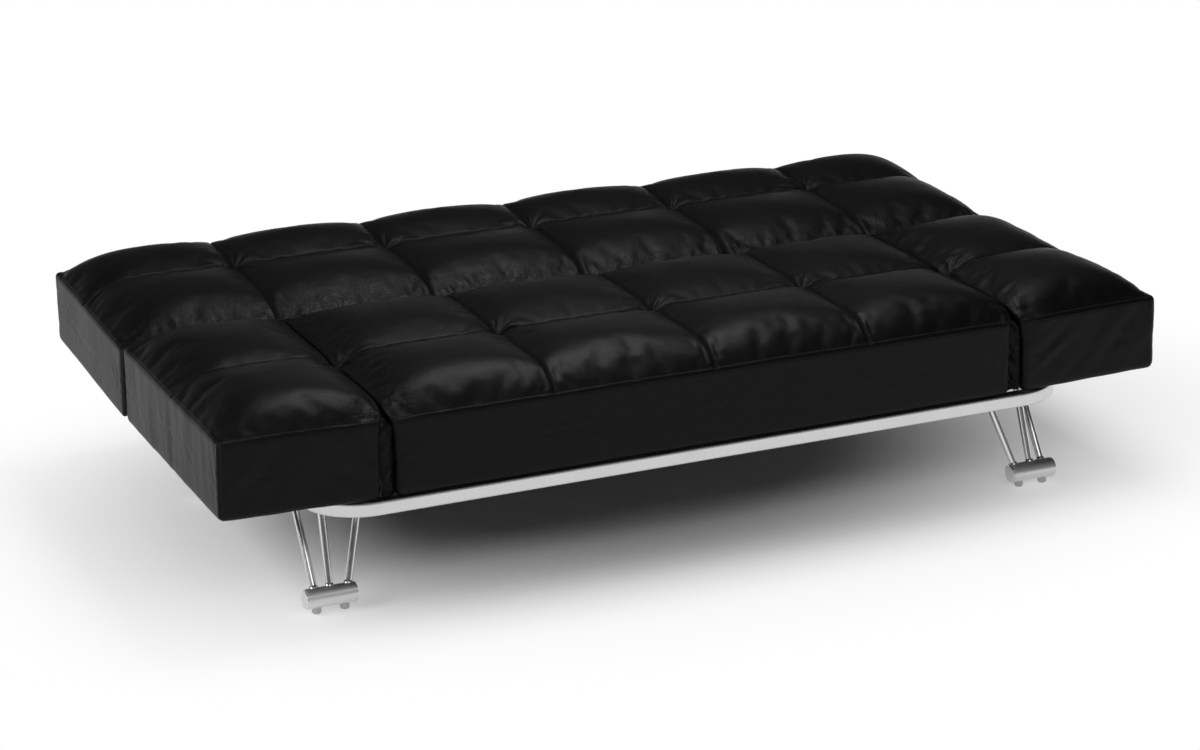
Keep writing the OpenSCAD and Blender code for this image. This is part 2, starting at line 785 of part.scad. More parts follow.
module arm_pad(side) {
    roof = folding_tube_z + tube_size + panel_thickness;
    color("#1c1c1e") on_side(side) arm_rest() difference() {
        cushion(arm_x_edges, seat_y_edges, pad_bottom);
        block([arm_frame_x0, seat_frame_y0, pad_bottom - 1], [arm_frame_x1, seat_frame_y1, roof]);
        for (y = arm_hinge_ys) {
            block([arm_start - 1, y - 4.5, pad_bottom - 1],
                  [arm_pivot[0] + wheel_radius + 12, y + hinge_width + 2, arm_pivot[2]]);
            translate([arm_pivot[0], y + hinge_width + 2, arm_pivot[2]]) rotate([90, 0, 0])
                cylinder(h = hinge_width + 6.5, r = wheel_radius + 3, $fn = 64);
            // Room for the leaf's flange
            block([arm_start - 1, y - 4.5, pad_bottom - 1],
                  [arm_frame_x0 + 1, y + 52, folding_tube_z + tube_size + 1]);
        }
    }
}

module arm_dust_cover(side) {
    color("#101010") on_side(side) arm_rest()
        block([arm_frame_x0 + tube_size, seat_frame_y0 + tube_size, folding_tube_z + 2],
              [arm_frame_x1 - tube_size, seat_frame_y1 - tube_size, folding_tube_z + 3.5]);
}

// Moving leaf of each arm hinge, with a flange along the arm's inner tube
module arm_hinge_leaves(side) {
    foot = [arm_frame_x0 - arm_pivot[0] - 10.2, folding_tube_z + 2 - arm_pivot[2]];
    color("slategray") on_side(side) arm_rest() for (y = arm_hinge_ys) {
        at_arm_hinge(y) layer(hinge_width - plate_thickness, plate_thickness) difference() {
            union() {
                circle(r = wheel_radius, $fn = 96);
                strip([0, 0], foot, 20);
            }
            pin_hole(pin_play);
        }
        block([arm_frame_x0 - plate_thickness, y, folding_tube_z + 1],
              [arm_frame_x0, y + plate_thickness + flange_length, folding_tube_z + tube_size - 1]);
    }
}

module arm_ratchet_wheels(side) {
    color("gray") on_side(side) arm_rest() for (y = arm_hinge_ys)
        at_arm_hinge(y) layer(hinge_width - plate_thickness - wheel_thickness, wheel_thickness)
            wheel_shape(arm_neck, arm_travel + arm_tilt);
}

// ---------- Nodes ----------

chrome_rail();
cross_bar(0);  // front_cross_bar
cross_bar(1);  // middle_cross_bar
cross_bar(2);  // rear_cross_bar
leg(true, -1);  // leg_front_left
leg(true, 1);  // leg_front_right
leg(false, -1);  // leg_rear_left
leg(false, 1);  // leg_rear_right
foot_bar(true, -1);  // foot_bar_front_left
foot_bar(true, 1);  // foot_bar_front_right
foot_bar(false, -1);  // foot_bar_rear_left
foot_bar(false, 1);  // foot_bar_rear_right
foot_end_caps();
floor_glides();
frame_bolts();
seat_cross_tube(seat_frame_y0, 0);  // seat_front_tube
seat_cross_tube(seat_frame_y1 - tube_size, plate_thickness);  // seat_rear_tube
seat_side_tube(-1);  // seat_left_tube
seat_side_tube(1);  // seat_right_tube
slats(seat_slat_count, seat_frame_y0 + 4, seat_frame_y1 - 4, seat_tube_z + tube_size + slat_lift);  // seat_slats
slat_holders(seat_slat_count, seat_frame_y0, seat_frame_y1, seat_tube_z + tube_size);  // seat_slat_holders
seat_pad();
seat_dust_cover();
back_hinge_seat_plate(-1);  // back_hinge_seat_plate_left
back_hinge_seat_plate(1);  // back_hinge_seat_plate_right
arm_hinge_seat_plates(-1);  // left_arm_hinge_seat_plates
arm_hinge_seat_plates(1);  // right_arm_hinge_seat_plates
hinge_pawls();
pawl_springs();
hinge_pins();
back_cross_tube(back_frame_y0);  // back_front_tube
back_cross_tube(back_frame_y1 - tube_size);  // back_rear_tube
back_long_tube(-back_frame_x);  // back_left_tube
back_long_tube(back_frame_x - tube_size);  // back_right_tube
back_rib_tubes();
back_rest()  // back_slats
    slats(back_slat_count, back_frame_y0 + 4, back_frame_y1 - 4,
          folding_tube_z + tube_size + slat_lift);
back_rest()  // back_slat_holders
    slat_holders(back_slat_count, back_frame_y0, back_frame_y1, folding_tube_z + tube_size);
back_pad();
back_dust_cover();
back_hinge_arm(-1);  // back_hinge_arm_left
back_hinge_arm(1);  // back_hinge_arm_right
back_ratchet_wheels();
arm_long_tube(-1, arm_frame_x0);  // left_arm_inner_tube
arm_long_tube(-1, arm_frame_x1 - tube_size);  // left_arm_outer_tube
arm_end_tubes(-1);  // left_arm_end_tubes
arm_panel(-1);  // left_arm_panel
arm_pad(-1);  // left_arm_pad
arm_dust_cover(-1);  // left_arm_dust_cover
arm_hinge_leaves(-1);  // left_arm_hinge_leaves
arm_ratchet_wheels(-1);  // left_arm_ratchet_wheels
arm_long_tube(1, arm_frame_x0);  // right_arm_inner_tube
arm_long_tube(1, arm_frame_x1 - tube_size);  // right_arm_outer_tube
arm_end_tubes(1);  // right_arm_end_tubes
arm_panel(1);  // right_arm_panel
arm_pad(1);  // right_arm_pad
arm_dust_cover(1);  // right_arm_dust_cover
arm_hinge_leaves(1);  // right_arm_hinge_leaves
arm_ratchet_wheels(1);  // right_arm_ratchet_wheels
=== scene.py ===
"""Looks of a three-part folding sofa bed.

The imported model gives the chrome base, the inner frames and the folding hardware. This script
dresses them, and models the upholstery: tufted pads in faux leather, the gathered gussets
between them, and the hems underneath.
"""

from __future__ import annotations

import json
import logging
import math
from dataclasses import dataclass, field
from enum import Enum
from typing import Any, Callable, ClassVar, Iterator

import bpy
import numpy as np
from mathutils import Matrix, Vector, noise

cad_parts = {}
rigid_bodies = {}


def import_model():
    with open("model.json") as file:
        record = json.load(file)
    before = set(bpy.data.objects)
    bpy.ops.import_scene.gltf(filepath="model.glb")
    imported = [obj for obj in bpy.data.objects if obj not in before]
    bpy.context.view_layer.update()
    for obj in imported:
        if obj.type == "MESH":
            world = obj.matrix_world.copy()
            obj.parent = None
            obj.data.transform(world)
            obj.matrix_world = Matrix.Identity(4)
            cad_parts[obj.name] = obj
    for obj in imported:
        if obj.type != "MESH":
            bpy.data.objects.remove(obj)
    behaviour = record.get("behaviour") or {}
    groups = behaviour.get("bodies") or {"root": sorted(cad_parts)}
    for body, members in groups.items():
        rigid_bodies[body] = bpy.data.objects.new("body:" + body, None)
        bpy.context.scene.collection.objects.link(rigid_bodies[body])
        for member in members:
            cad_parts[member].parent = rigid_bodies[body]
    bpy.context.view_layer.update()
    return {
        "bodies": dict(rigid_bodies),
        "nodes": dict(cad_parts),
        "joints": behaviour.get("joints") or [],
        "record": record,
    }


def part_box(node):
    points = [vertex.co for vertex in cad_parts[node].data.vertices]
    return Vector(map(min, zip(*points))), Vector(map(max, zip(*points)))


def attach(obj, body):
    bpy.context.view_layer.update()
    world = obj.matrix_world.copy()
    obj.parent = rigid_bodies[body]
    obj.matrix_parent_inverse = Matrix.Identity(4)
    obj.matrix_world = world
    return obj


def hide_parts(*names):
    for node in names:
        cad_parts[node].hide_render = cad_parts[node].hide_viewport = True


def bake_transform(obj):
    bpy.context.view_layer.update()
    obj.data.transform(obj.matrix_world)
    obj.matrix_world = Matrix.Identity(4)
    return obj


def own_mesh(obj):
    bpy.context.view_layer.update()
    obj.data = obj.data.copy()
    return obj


log = logging.getLogger("sofa_bed")

Socket = bpy.types.NodeSocket


# ---------- Sizes ----------


@dataclass(frozen=True)
class Plan:
    """Driving sizes of the upholstery, in metres.

    The seat, the arms and the back share one perimeter seam height. Pad edges and underside
    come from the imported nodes, and the seams between cells from these sizes.
    """

    seat_length: float = 1.200
    columns: int = 4
    front_row: float = 0.263
    back_row: float = 0.262
    joint_gap: float = 0.016
    seam_height: float = 0.349
    plateau: float = 0.040
    crown: float = 0.066
    skirt: float = 0.012
    hollow: float = 0.042
    back_tilt: float = math.radians(2.7)
    arm_tilt: float = math.radians(1.2)

    @property
    def column(self) -> float:
        """Width of one cell of the seat."""
        return self.seat_length / self.columns

    def column_seams(self) -> list[float]:
        """Places of the seams between the seat's columns and beside its ends."""
        return [i * self.column - self.seat_length / 2 for i in range(self.columns + 1)]


PLAN = Plan()


# ---------- Shader graphs ----------


class Graph:
    """Adds nodes to one shader tree and links them."""

    def __init__(self, tree: bpy.types.NodeTree) -> None:
        """Keeps the tree that the nodes go into.

        Args:
            tree: The material's or the group's node tree.
        """
        self.tree = tree

    def node(self, kind: str, feeds: dict[Any, Any] | None = None, **settings: Any) -> bpy.types.Node:
        """Adds a node, sets it and feeds it.

        Args:
            kind: Its type's name without the ShaderNode prefix.
            feeds: A socket or a constant for each input's name or number.
            settings: Values of the node's own properties.

        Returns:
            The new node.
        """
        made = self.tree.nodes.new("ShaderNode" + kind)
        for name, value in settings.items():
            setattr(made, name, value)
        for key, value in (feeds or {}).items():
            if isinstance(value, Socket):
                self.tree.links.new(value, made.inputs[key])
            else:
                made.inputs[key].default_value = value
        return made

    def math(self, operation: str, a: Any, b: Any = 0.0, clamp: bool = False) -> Socket:
        """Returns the result of one arithmetic node on two values or sockets."""
        return self.node("Math", {0: a, 1: b}, operation=operation, use_clamp=clamp).outputs[0]

    def noise(self, vector: Socket, scale: float, detail: float = 3.0, rough: float = 0.5) -> Socket:
        """Returns fractal noise of a vector, from 0 to 1."""
        feeds = {"Vector": vector, "Scale": scale, "Detail": detail, "Roughness": rough}
        return self.node("TexNoise", feeds).outputs["Fac"]

    def stretch(self, vector: Socket, scale: tuple[float, float, float]) -> Socket:
        """Returns a vector scaled by its own amount along each axis."""
        return self.node("Mapping", {"Vector": vector, "Scale": scale}).outputs[0]

    def span(self, value: Any, low: float, high: float, to_low: float = 0.0, to_high: float = 1.0) -> Socket:
        """Returns a value mapped from one span onto another, smoothly and clamped."""
        feeds = {0: value, 1: low, 2: high, 3: to_low, 4: to_high}
        return self.node("MapRange", feeds, interpolation_type="SMOOTHSTEP").outputs[0]

    def mix(self, share: Any, a: Any, b: Any, blend: str = "MIX") -> Socket:
        """Returns two colours mixed by a share."""
        made = self.node("Mix", data_type="RGBA", blend_type=blend)
        for key, value in ((0, share), (6, a), (7, b)):
            if isinstance(value, Socket):
                self.tree.links.new(value, made.inputs[key])
            else:
                made.inputs[key].default_value = value
        return made.outputs[2]

    def object_place(self) -> Socket:
        """Returns the place on the piece, in metres."""
        return self.node("TexCoord").outputs["Object"]

    def attribute(self, name: str) -> Socket:
        """Returns a number that the mesh stores at each point."""
        return self.node("Attribute", attribute_name=name).outputs["Fac"]

    def bump(self, height: Socket, millimetres: float = 1.0, normal: Socket | None = None) -> Socket:
        """Returns the normal of a relief.

        Args:
            height: The relief's height, in units of the next argument.
            millimetres: How far a height of one stands out.
            normal: Another relief to lay it on.
        """
        feeds: dict[Any, Any] = {"Height": height, "Distance": millimetres / 1000}
        if normal is not None:
            feeds["Normal"] = normal
        return self.node("Bump", feeds).outputs[0]

    def group(self, effect: bpy.types.NodeTree, **feeds: Any) -> bpy.types.Node:
        """Places a shared effect and feeds its inputs by name."""
        made = self.tree.nodes.new("ShaderNodeGroup")
        made.node_tree = effect
        for key, value in feeds.items():
            if isinstance(value, Socket):
                self.tree.links.new(value, made.inputs[key])
            else:
                made.inputs[key].default_value = value
        return made


def colour(red: float, green: float, blue: float) -> tuple[float, float, float, float]:
    """Returns an opaque colour."""
    return (red, green, blue, 1.0)


class Effects:
    """Shader node groups that more than one finish uses, each built once."""

    _made: ClassVar[dict[str, bpy.types.NodeTree]] = {}

    @classmethod
    def _build(
        cls,
        name: str,
        inputs: dict[str, float | None],
        outputs: list[str],
        draw: Callable[[Graph, dict[str, Socket]], dict[str, Socket]],
    ) -> bpy.types.NodeTree:
        """Builds a group, or returns the one built before.

        Args:
            name: Its name.
            inputs: The usual value of each number input, or None for a vector input.
            outputs: The names of its outputs, all numbers.
            draw: Adds the nodes, and returns the socket of each output.

        Returns:
            The group's tree.
        """
        if name in cls._made:
            return cls._made[name]
        tree = bpy.data.node_groups.new(name, "ShaderNodeTree")
        for key, value in inputs.items():
            kind = "NodeSocketVector" if value is None else "NodeSocketFloat"
            socket = tree.interface.new_socket(name=key, in_out="INPUT", socket_type=kind)
            if value is not None:
                socket.default_value = value
        for key in outputs:
            tree.interface.new_socket(name=key, in_out="OUTPUT", socket_type="NodeSocketFloat")
        graph = Graph(tree)
        entry = tree.nodes.new("NodeGroupInput")
        leave = tree.nodes.new("NodeGroupOutput")
        for key, socket in draw(graph, {k: entry.outputs[k] for k in inputs}).items():
            tree.links.new(socket, leave.inputs[key])
        cls._made[name] = tree
        return tree

    @classmethod
    def pebble(cls) -> bpy.types.NodeTree:
        """Fine pebbled grain: rounded cells with soft valleys, broken up by noise."""

        def draw(graph: Graph, feed: dict[str, Socket]) -> dict[str, Socket]:
            """Adds the cells and the noise that bends them."""
            bend = graph.node("TexNoise", {"Vector": feed["Place"], "Scale": 240.0, "Detail": 2.0})
            shift = graph.node(
                "VectorMath", {0: bend.outputs["Color"], 1: (0.0022, 0.0022, 0.0022)}, operation="MULTIPLY"
            )
            place = graph.node("VectorMath", {0: feed["Place"], 1: shift.outputs[0]}, operation="ADD")
            cells = graph.node(
                "TexVoronoi",
                {"Vector": place.outputs[0], "Scale": feed["Scale"], "Smoothness": 0.6},
                feature="SMOOTH_F1",
            )
            dome = graph.span(cells.outputs["Distance"], 0.0, 0.62, 1.0, 0.0)
            height = graph.math("ADD", dome, graph.math("MULTIPLY", bend.outputs["Fac"], 0.5))
            return {"Height": height, "Valley": graph.span(dome, 0.5, 0.05)}

        return cls._build("pebble", {"Place": None, "Scale": 850.0}, ["Height", "Valley"], draw)

    @classmethod
    def brushed(cls) -> bpy.types.NodeTree:
        """Fine parallel streaks, for metal that was brushed or drawn, with faint smudges."""

        def draw(graph: Graph, feed: dict[str, Socket]) -> dict[str, Socket]:
            """Adds streaks of two widths and the smudges."""
            fine = graph.noise(feed["Along"], 1.0, 4.0, 0.65)
            smudge = graph.noise(feed["Place"], 14.0, 4.0, 0.6)
            return {"Streak": fine, "Smudge": graph.span(smudge, 0.35, 0.75)}

        return cls._build("brushed", {"Place": None, "Along": None}, ["Streak", "Smudge"], draw)

    @classmethod
    def settled_dust(cls) -> bpy.types.NodeTree:
        """Share of pale dust, which lies on faces that look up and in patches."""

        def draw(graph: Graph, feed: dict[str, Socket]) -> dict[str, Socket]:
            """Adds the upward mask and its patches."""
            upright = graph.node("SeparateXYZ", {0: graph.node("NewGeometry").outputs["Normal"]})
            patches = graph.noise(feed["Place"], 26.0, 6.0, 0.7)
            mask = graph.math("MULTIPLY", graph.span(upright.outputs[2], 0.3, 1.0), graph.span(patches, 0.4, 0.8))
            return {"Share": graph.math("MULTIPLY", mask, feed["Amount"])}

        return cls._build("settled dust", {"Place": None, "Amount": 0.2}, ["Share"], draw)


class Finish:
    """A material that is made once and shared by its pieces."""

    name: str
    _materials: ClassVar[dict[str, bpy.types.Material]] = {}

    def material(self) -> bpy.types.Material:
        """Returns the finish's material, built on first use."""
        if self.name not in self._materials:
            made = bpy.data.materials.new(self.name)
            made.use_nodes = True
            made.node_tree.nodes.clear()
            graph = Graph(made.node_tree)
            shader = graph.node("BsdfPrincipled")
            end = graph.node("OutputMaterial")
            made.node_tree.links.new(shader.outputs[0], end.inputs[0])
            self.draw(graph, shader)
            self._materials[self.name] = made
        return self._materials[self.name]

    def draw(self, graph: Graph, shader: bpy.types.Node) -> None:
        """Adds the finish's nodes and feeds its shader.

        Args:
            graph: The material's graph.
            shader: Its Principled shader.
        """
        raise NotImplementedError

    def dress(self, piece: bpy.types.Object) -> None:
        """Puts the finish on every slot of a piece."""
        made = self.material()
        if not piece.data.materials:
            piece.data.materials.append(made)
        for index in range(len(piece.data.materials)):
            piece.data.materials[index] = made


def feed(graph: Graph, shader: bpy.types.Node, **sockets: Any) -> None:
    """Links sockets to a shader's inputs, or sets them, by names with underscores for spaces."""
    for key, value in sockets.items():
        target = shader.inputs[key.replace("_", " ")]
        if isinstance(value, Socket):
            graph.tree.links.new(value, target)
        else:
            target.default_value = value


@dataclass(frozen=True)
class FauxLeather(Finish):
    """Black faux leather with a fine grain, stretch creases and twin-needle seams."""

    name: str = "black faux leather"
    tint: tuple[float, float, float] = (0.0020, 0.0020, 0.0020)
    roughness: float = 0.38
    gloss: float = 0.13
    grain: float = 0.075
    needle_gap: float = 0.0042
    stitch: float = 0.0046

    def draw(self, graph: Graph, shader: bpy.types.Node) -> None:
        """Adds the grain, the creases, the stitches, and painted shade in the grain's valleys and along the seam
        creases.

        Args:
            graph: The material's graph.
            shader: Its Principled shader.
        """
        place = graph.object_place()
        pebble = graph.group(Effects.pebble(), Place=place, Scale=850.0)
        slack = graph.attribute("slack")
        creases = graph.noise(graph.stretch(place, (70.0, 45.0, 70.0)), 1.0, 5.0, 0.62)
        ridge = graph.math("ABSOLUTE", graph.math("SUBTRACT", creases, 0.5))
        crease = graph.math("MULTIPLY", graph.span(ridge, 0.0, 0.07, 1.0, 0.0), slack)
        soft = graph.noise(place, 16.0, 3.0, 0.5)
        thread, sunk = self._stitches(graph)
        relief = graph.bump(graph.math("MULTIPLY", soft, 1.0), 1.6)
        relief = graph.bump(graph.math("MULTIPLY", crease, -1.0), 0.34, relief)
        relief = graph.bump(pebble.outputs["Height"], self.grain, relief)
        relief = graph.bump(graph.math("SUBTRACT", thread, sunk), 0.5, relief)
        worn = graph.noise(place, 9.0, 4.0, 0.6)
        base = graph.mix(graph.span(worn, 0.3, 0.75), colour(*self.tint), colour(*[c * 1.5 for c in self.tint]))
        # Painted shade: the grain's valleys are darkened.
        base = graph.mix(pebble.outputs["Valley"], base, colour(0.001, 0.001, 0.001))
        base = graph.mix(thread, base, colour(0.008, 0.008, 0.009))
        rough = graph.math("ADD", self.roughness - 0.05, graph.math("MULTIPLY", worn, 0.10))
        rough = graph.math("ADD", rough, graph.math("MULTIPLY", pebble.outputs["Valley"], 0.08))
        rough = graph.math("ADD", rough, graph.math("MULTIPLY", thread, 0.2))
        # Painted shade: along the seam creases the base colour is darkened nearly to black, and the creases are also
        # made rougher.
        painted_crease_shade = graph.attribute("crease")
        base = graph.mix(painted_crease_shade, base, colour(0.0006, 0.0006, 0.0006))
        rough = graph.math("ADD", rough, graph.math("MULTIPLY", painted_crease_shade, 0.5))
        feed(graph, shader, Base_Color=base, Roughness=rough, Normal=relief)
        feed(graph, shader, Specular_IOR_Level=self.gloss)

    def _stitches(self, graph: Graph) -> tuple[Socket, Socket]:
        """Draws the two stitched lines beside the perimeter seam.

        Args:
            graph: The material's graph.

        Returns:
            The mask of the threads and the mask of the sunk lines they lie in.
        """
        away = graph.math("ABSOLUTE", graph.attribute("seam_distance"))
        line = graph.math("ABSOLUTE", graph.math("SUBTRACT", away, self.needle_gap))
        run = graph.math("FRACT", graph.math("DIVIDE", graph.attribute("seam_run"), self.stitch))
        inside = graph.math("MULTIPLY", graph.span(run, 0.06, 0.2), graph.span(run, 0.94, 0.8))
        thread = graph.math("MULTIPLY", graph.span(line, 0.0007, 0.0003), inside)
        return thread, graph.span(line, 0.0016, 0.0002)


@dataclass(frozen=True)
class Metal(Finish):
    """Metal with fine drawn streaks, such as satin chrome or polished rod."""

    name: str
    tint: tuple[float, float, float]
    roughness: float
    streaks: tuple[float, float, float] = (6.0, 900.0, 900.0)
    relief: float = 0.012
    smudge: float = 0.10
    dust: float = 0.15

    def draw(self, graph: Graph, shader: bpy.types.Node) -> None:
        """Adds the streaks, the smudges and the dust.

        Args:
            graph: The material's graph.
            shader: Its Principled shader.
        """
        place = graph.object_place()
        drawn = graph.group(Effects.brushed(), Place=place, Along=graph.stretch(place, self.streaks))
        dust = graph.group(Effects.settled_dust(), Place=place, Amount=self.dust).outputs["Share"]
        dark = colour(*[c * 0.86 for c in self.tint])
        base = graph.mix(drawn.outputs["Streak"], dark, colour(*self.tint))
        base = graph.mix(dust, base, colour(0.45, 0.44, 0.42))
        spread = graph.math("MULTIPLY", graph.math("SUBTRACT", drawn.outputs["Streak"], 0.5), 0.10)
        rough = graph.math("ADD", graph.math("ADD", self.roughness, spread), graph.math("MULTIPLY", dust, 0.4))
        rough = graph.math("ADD", rough, graph.math("MULTIPLY", drawn.outputs["Smudge"], self.smudge))
        relief = graph.bump(drawn.outputs["Streak"], self.relief)
        metal = graph.math("SUBTRACT", 1.0, graph.math("MULTIPLY", dust, 0.8))
        feed(graph, shader, Base_Color=base, Roughness=rough, Metallic=metal, Normal=relief)


@dataclass(frozen=True)
class PowderCoat(Finish):
    """Black powder coat with orange peel, rubbed pale in places."""

    name: str = "black powder coat"

    def draw(self, graph: Graph, shader: bpy.types.Node) -> None:
        """Adds the orange peel, the rubbed patches and the dust.

        Args:
            graph: The material's graph.
            shader: Its Principled shader.
        """
        place = graph.object_place()
        peel = graph.noise(place, 520.0, 2.0, 0.5)
        rub = graph.span(graph.noise(place, 34.0, 6.0, 0.7), 0.62, 0.8)
        dust = graph.group(Effects.settled_dust(), Place=place, Amount=0.3).outputs["Share"]
        base = graph.mix(rub, colour(0.011, 0.011, 0.012), colour(0.045, 0.045, 0.047))
        base = graph.mix(dust, base, colour(0.18, 0.17, 0.16))
        rough = graph.math("ADD", 0.38, graph.math("MULTIPLY", peel, 0.16))
        feed(graph, shader, Base_Color=base, Roughness=rough, Normal=graph.bump(peel, 0.05))


@dataclass(frozen=True)
class ZincPlate(Finish):
    """Bright zinc plating with its small crystals and a yellowish cast in places."""

    name: str = "zinc plate"

    def draw(self, graph: Graph, shader: bpy.types.Node) -> None:
        """Adds the crystals and the cast.

        Args:
            graph: The material's graph.
            shader: Its Principled shader.
        """
        place = graph.object_place()
        crystals = graph.node("TexVoronoi", {"Vector": place, "Scale": 190.0}).outputs["Color"]
        grey = graph.node("SeparateColor", {0: crystals}).outputs[0]
        cast = graph.span(graph.noise(place, 30.0, 4.0, 0.6), 0.45, 0.7)
        base = graph.mix(grey, colour(0.44, 0.45, 0.47), colour(0.60, 0.61, 0.62))
        base = graph.mix(cast, base, colour(0.55, 0.53, 0.42))
        rough = graph.math("ADD", 0.30, graph.math("MULTIPLY", grey, 0.16))
        relief = graph.bump(graph.noise(place, 800.0, 2.0), 0.02)
        feed(graph, shader, Base_Color=base, Roughness=rough, Metallic=1.0, Normal=relief)


@dataclass(frozen=True)
class Birch(Finish):
    """Pale birch veneer, with its grain along one axis and thin darker plies on its edges."""

    name: str
    along: tuple[float, float, float]
    plies: float = 0.0015

    def draw(self, graph: Graph, shader: bpy.types.Node) -> None:
        """Adds the fibres, the figure, the pores and the plies.

        Args:
            graph: The material's graph.
            shader: Its Principled shader.
        """
        place = graph.object_place()
        fibre = graph.noise(graph.stretch(place, self.along), 1.0, 5.0, 0.6)
        figure = graph.noise(graph.stretch(place, tuple(a / 9 for a in self.along)), 1.0, 4.0, 0.55)
        rings = graph.math("ABSOLUTE", graph.math("SINE", graph.math("MULTIPLY", figure, 26.0)))
        base = graph.mix(rings, colour(0.50, 0.33, 0.17), colour(0.66, 0.47, 0.28))
        base = graph.mix(graph.span(fibre, 0.3, 0.7, 0.35, 0.0), base, colour(0.33, 0.20, 0.10))
        height = graph.node("SeparateXYZ", {0: place}).outputs[2]
        layer = graph.math("PINGPONG", height, self.plies)
        side = graph.node("SeparateXYZ", {0: graph.node("NewGeometry").outputs["Normal"]}).outputs[2]
        edge = graph.span(graph.math("ABSOLUTE", side), 0.6, 0.3)
        dark = graph.math("MULTIPLY", edge, graph.span(layer, self.plies * 0.35, self.plies * 0.65))
        base = graph.mix(graph.math("MULTIPLY", dark, 0.6), base, colour(0.24, 0.14, 0.07))
        rough = graph.math("ADD", 0.46, graph.math("MULTIPLY", fibre, 0.22))
        feed(graph, shader, Base_Color=base, Roughness=rough, Normal=graph.bump(fibre, 0.06))


@dataclass(frozen=True)
class MouldedPlastic(Finish):
    """Black moulded plastic with a spark-eroded grain."""

    name: str = "black moulded plastic"

    def draw(self, graph: Graph, shader: bpy.types.Node) -> None:
        """Adds the grain and scuffs.

        Args:
            graph: The material's graph.
            shader: Its Principled shader.
        """
        place = graph.object_place()
        grain = graph.noise(place, 1400.0, 2.0, 0.6)
        scuff = graph.span(graph.noise(graph.stretch(place, (40.0, 220.0, 60.0)), 1.0, 5.0, 0.7), 0.6, 0.75)
        base = graph.mix(scuff, colour(0.012, 0.012, 0.013), colour(0.035, 0.035, 0.036))
        rough = graph.math("ADD", 0.44, graph.math("MULTIPLY", grain, 0.2))
        feed(graph, shader, Base_Color=base, Roughness=rough, Normal=graph.bump(grain, 0.04))


@dataclass(frozen=True)
class DustCloth(Finish):
    """Black non-woven cloth with bonded dots, which closes the pads from below."""

    name: str = "black dust cloth"
    dot: float = 0.0016

    def draw(self, graph: Graph, shader: bpy.types.Node) -> None:
        """Adds the bonded dots, the loose fibres and slack waves.

        Args:
            graph: The material's graph.
            shader: Its Principled shader.
        """
        place = graph.object_place()
        spread = graph.node("Mapping", {"Vector": place, "Rotation": (0.0, 0.0, math.radians(45))}).outputs[0]
        axes = graph.node("SeparateXYZ", {0: spread})
        waves = [graph.math("PINGPONG", axes.outputs[i], self.dot) for i in (0, 1)]
        far = graph.math("MAXIMUM", *waves)
        dots = graph.span(far, self.dot * 0.45, self.dot * 0.25)
        fibre = graph.noise(graph.stretch(place, (500.0, 900.0, 500.0)), 1.0, 5.0, 0.75)
        sag = graph.noise(place, 11.0, 2.0, 0.4)
        relief = graph.bump(sag, 3.0)
        relief = graph.bump(graph.math("SUBTRACT", fibre, dots), 0.09, relief)
        base = graph.mix(fibre, colour(0.006, 0.006, 0.006), colour(0.022, 0.022, 0.023))
        base = graph.mix(dots, base, colour(0.004, 0.004, 0.004))
        rough = graph.math("SUBTRACT", 0.92, graph.math("MULTIPLY", dots, 0.25))
        feed(graph, shader, Base_Color=base, Roughness=rough, Normal=relief, Specular_IOR_Level=0.25)


LEATHER = FauxLeather()
DUST_CLOTH = DustCloth()
SATIN_RAIL = Metal("satin chrome tube", (0.66, 0.66, 0.66), 0.27, dust=0.03)
SATIN_FOOT = Metal("satin foot bar", (0.80, 0.80, 0.81), 0.42, dust=0.03)
POLISHED_ROD = Metal("polished chrome rod", (0.80, 0.80, 0.81), 0.20, (700.0, 700.0, 8.0), 0.004, 0.05, 0.05)
TURNED_END = Metal("turned chrome end", (0.80, 0.80, 0.81), 0.20, (60.0, 900.0, 900.0), 0.01)
BRIGHT_STEEL = Metal("bright steel", (0.46, 0.45, 0.44), 0.30, (500.0, 40.0, 500.0), 0.02)
SPRING_STEEL = Metal("blued spring steel", (0.10, 0.11, 0.16), 0.26, (300.0, 900.0, 60.0), 0.01)
SINTERED_STEEL = Metal("hardened ratchet steel", (0.30, 0.29, 0.28), 0.38, (700.0, 300.0, 300.0), 0.03)
POWDER_COAT = PowderCoat()
ZINC = ZincPlate()
SLAT_BIRCH = Birch("bent birch slat", (520.0, 9.0, 520.0))
PANEL_BIRCH = Birch("birch plywood", (420.0, 8.0, 420.0), 0.0011)
PLASTIC = MouldedPlastic()

NODE_FINISHES: dict[str, Finish] = {
    "chrome_rail": SATIN_RAIL,
    "cross_bar": POWDER_COAT,
    "leg_": POLISHED_ROD,
    "foot_bar": SATIN_FOOT,
    "foot_end_caps": TURNED_END,
    "floor_glides": BRIGHT_STEEL,
    "frame_bolts": ZINC,
    "tube": POWDER_COAT,
    "slats": SLAT_BIRCH,
    "slat_holders": PLASTIC,
    "dust_cover": DUST_CLOTH,
    "panel": PANEL_BIRCH,
    "hinge": ZINC,
    "hinge_pins": BRIGHT_STEEL,
    "hinge_pawls": SINTERED_STEEL,
    "pawl_springs": SPRING_STEEL,
    "ratchet_wheels": SINTERED_STEEL,
}


def finish_for(node: str) -> Finish | None:
    """Returns the finish of a CAD node: the one with the longest name part that fits."""
    fitting = [part for part in NODE_FINISHES if part in node]
    return NODE_FINISHES[max(fitting, key=len)] if fitting else None


# ---------- Mesh helpers ----------


def points_of(piece: bpy.types.Object) -> np.ndarray:
    """Returns a mesh's points as rows of x, y and z."""
    flat = np.empty(len(piece.data.vertices) * 3)
    piece.data.vertices.foreach_get("co", flat)
    return flat.reshape(-1, 3)


def move_points(piece: bpy.types.Object, points: np.ndarray) -> None:
    """Puts a mesh's points at new places."""
    piece.data.vertices.foreach_set("co", points.astype(float).ravel())
    piece.data.update()


def normals_of(piece: bpy.types.Object) -> np.ndarray:
    """Returns the outward direction at each point of a mesh."""
    flat = np.empty(len(piece.data.vertices) * 3)
    piece.data.vertex_normals.foreach_get("vector", flat)
    return flat.reshape(-1, 3)


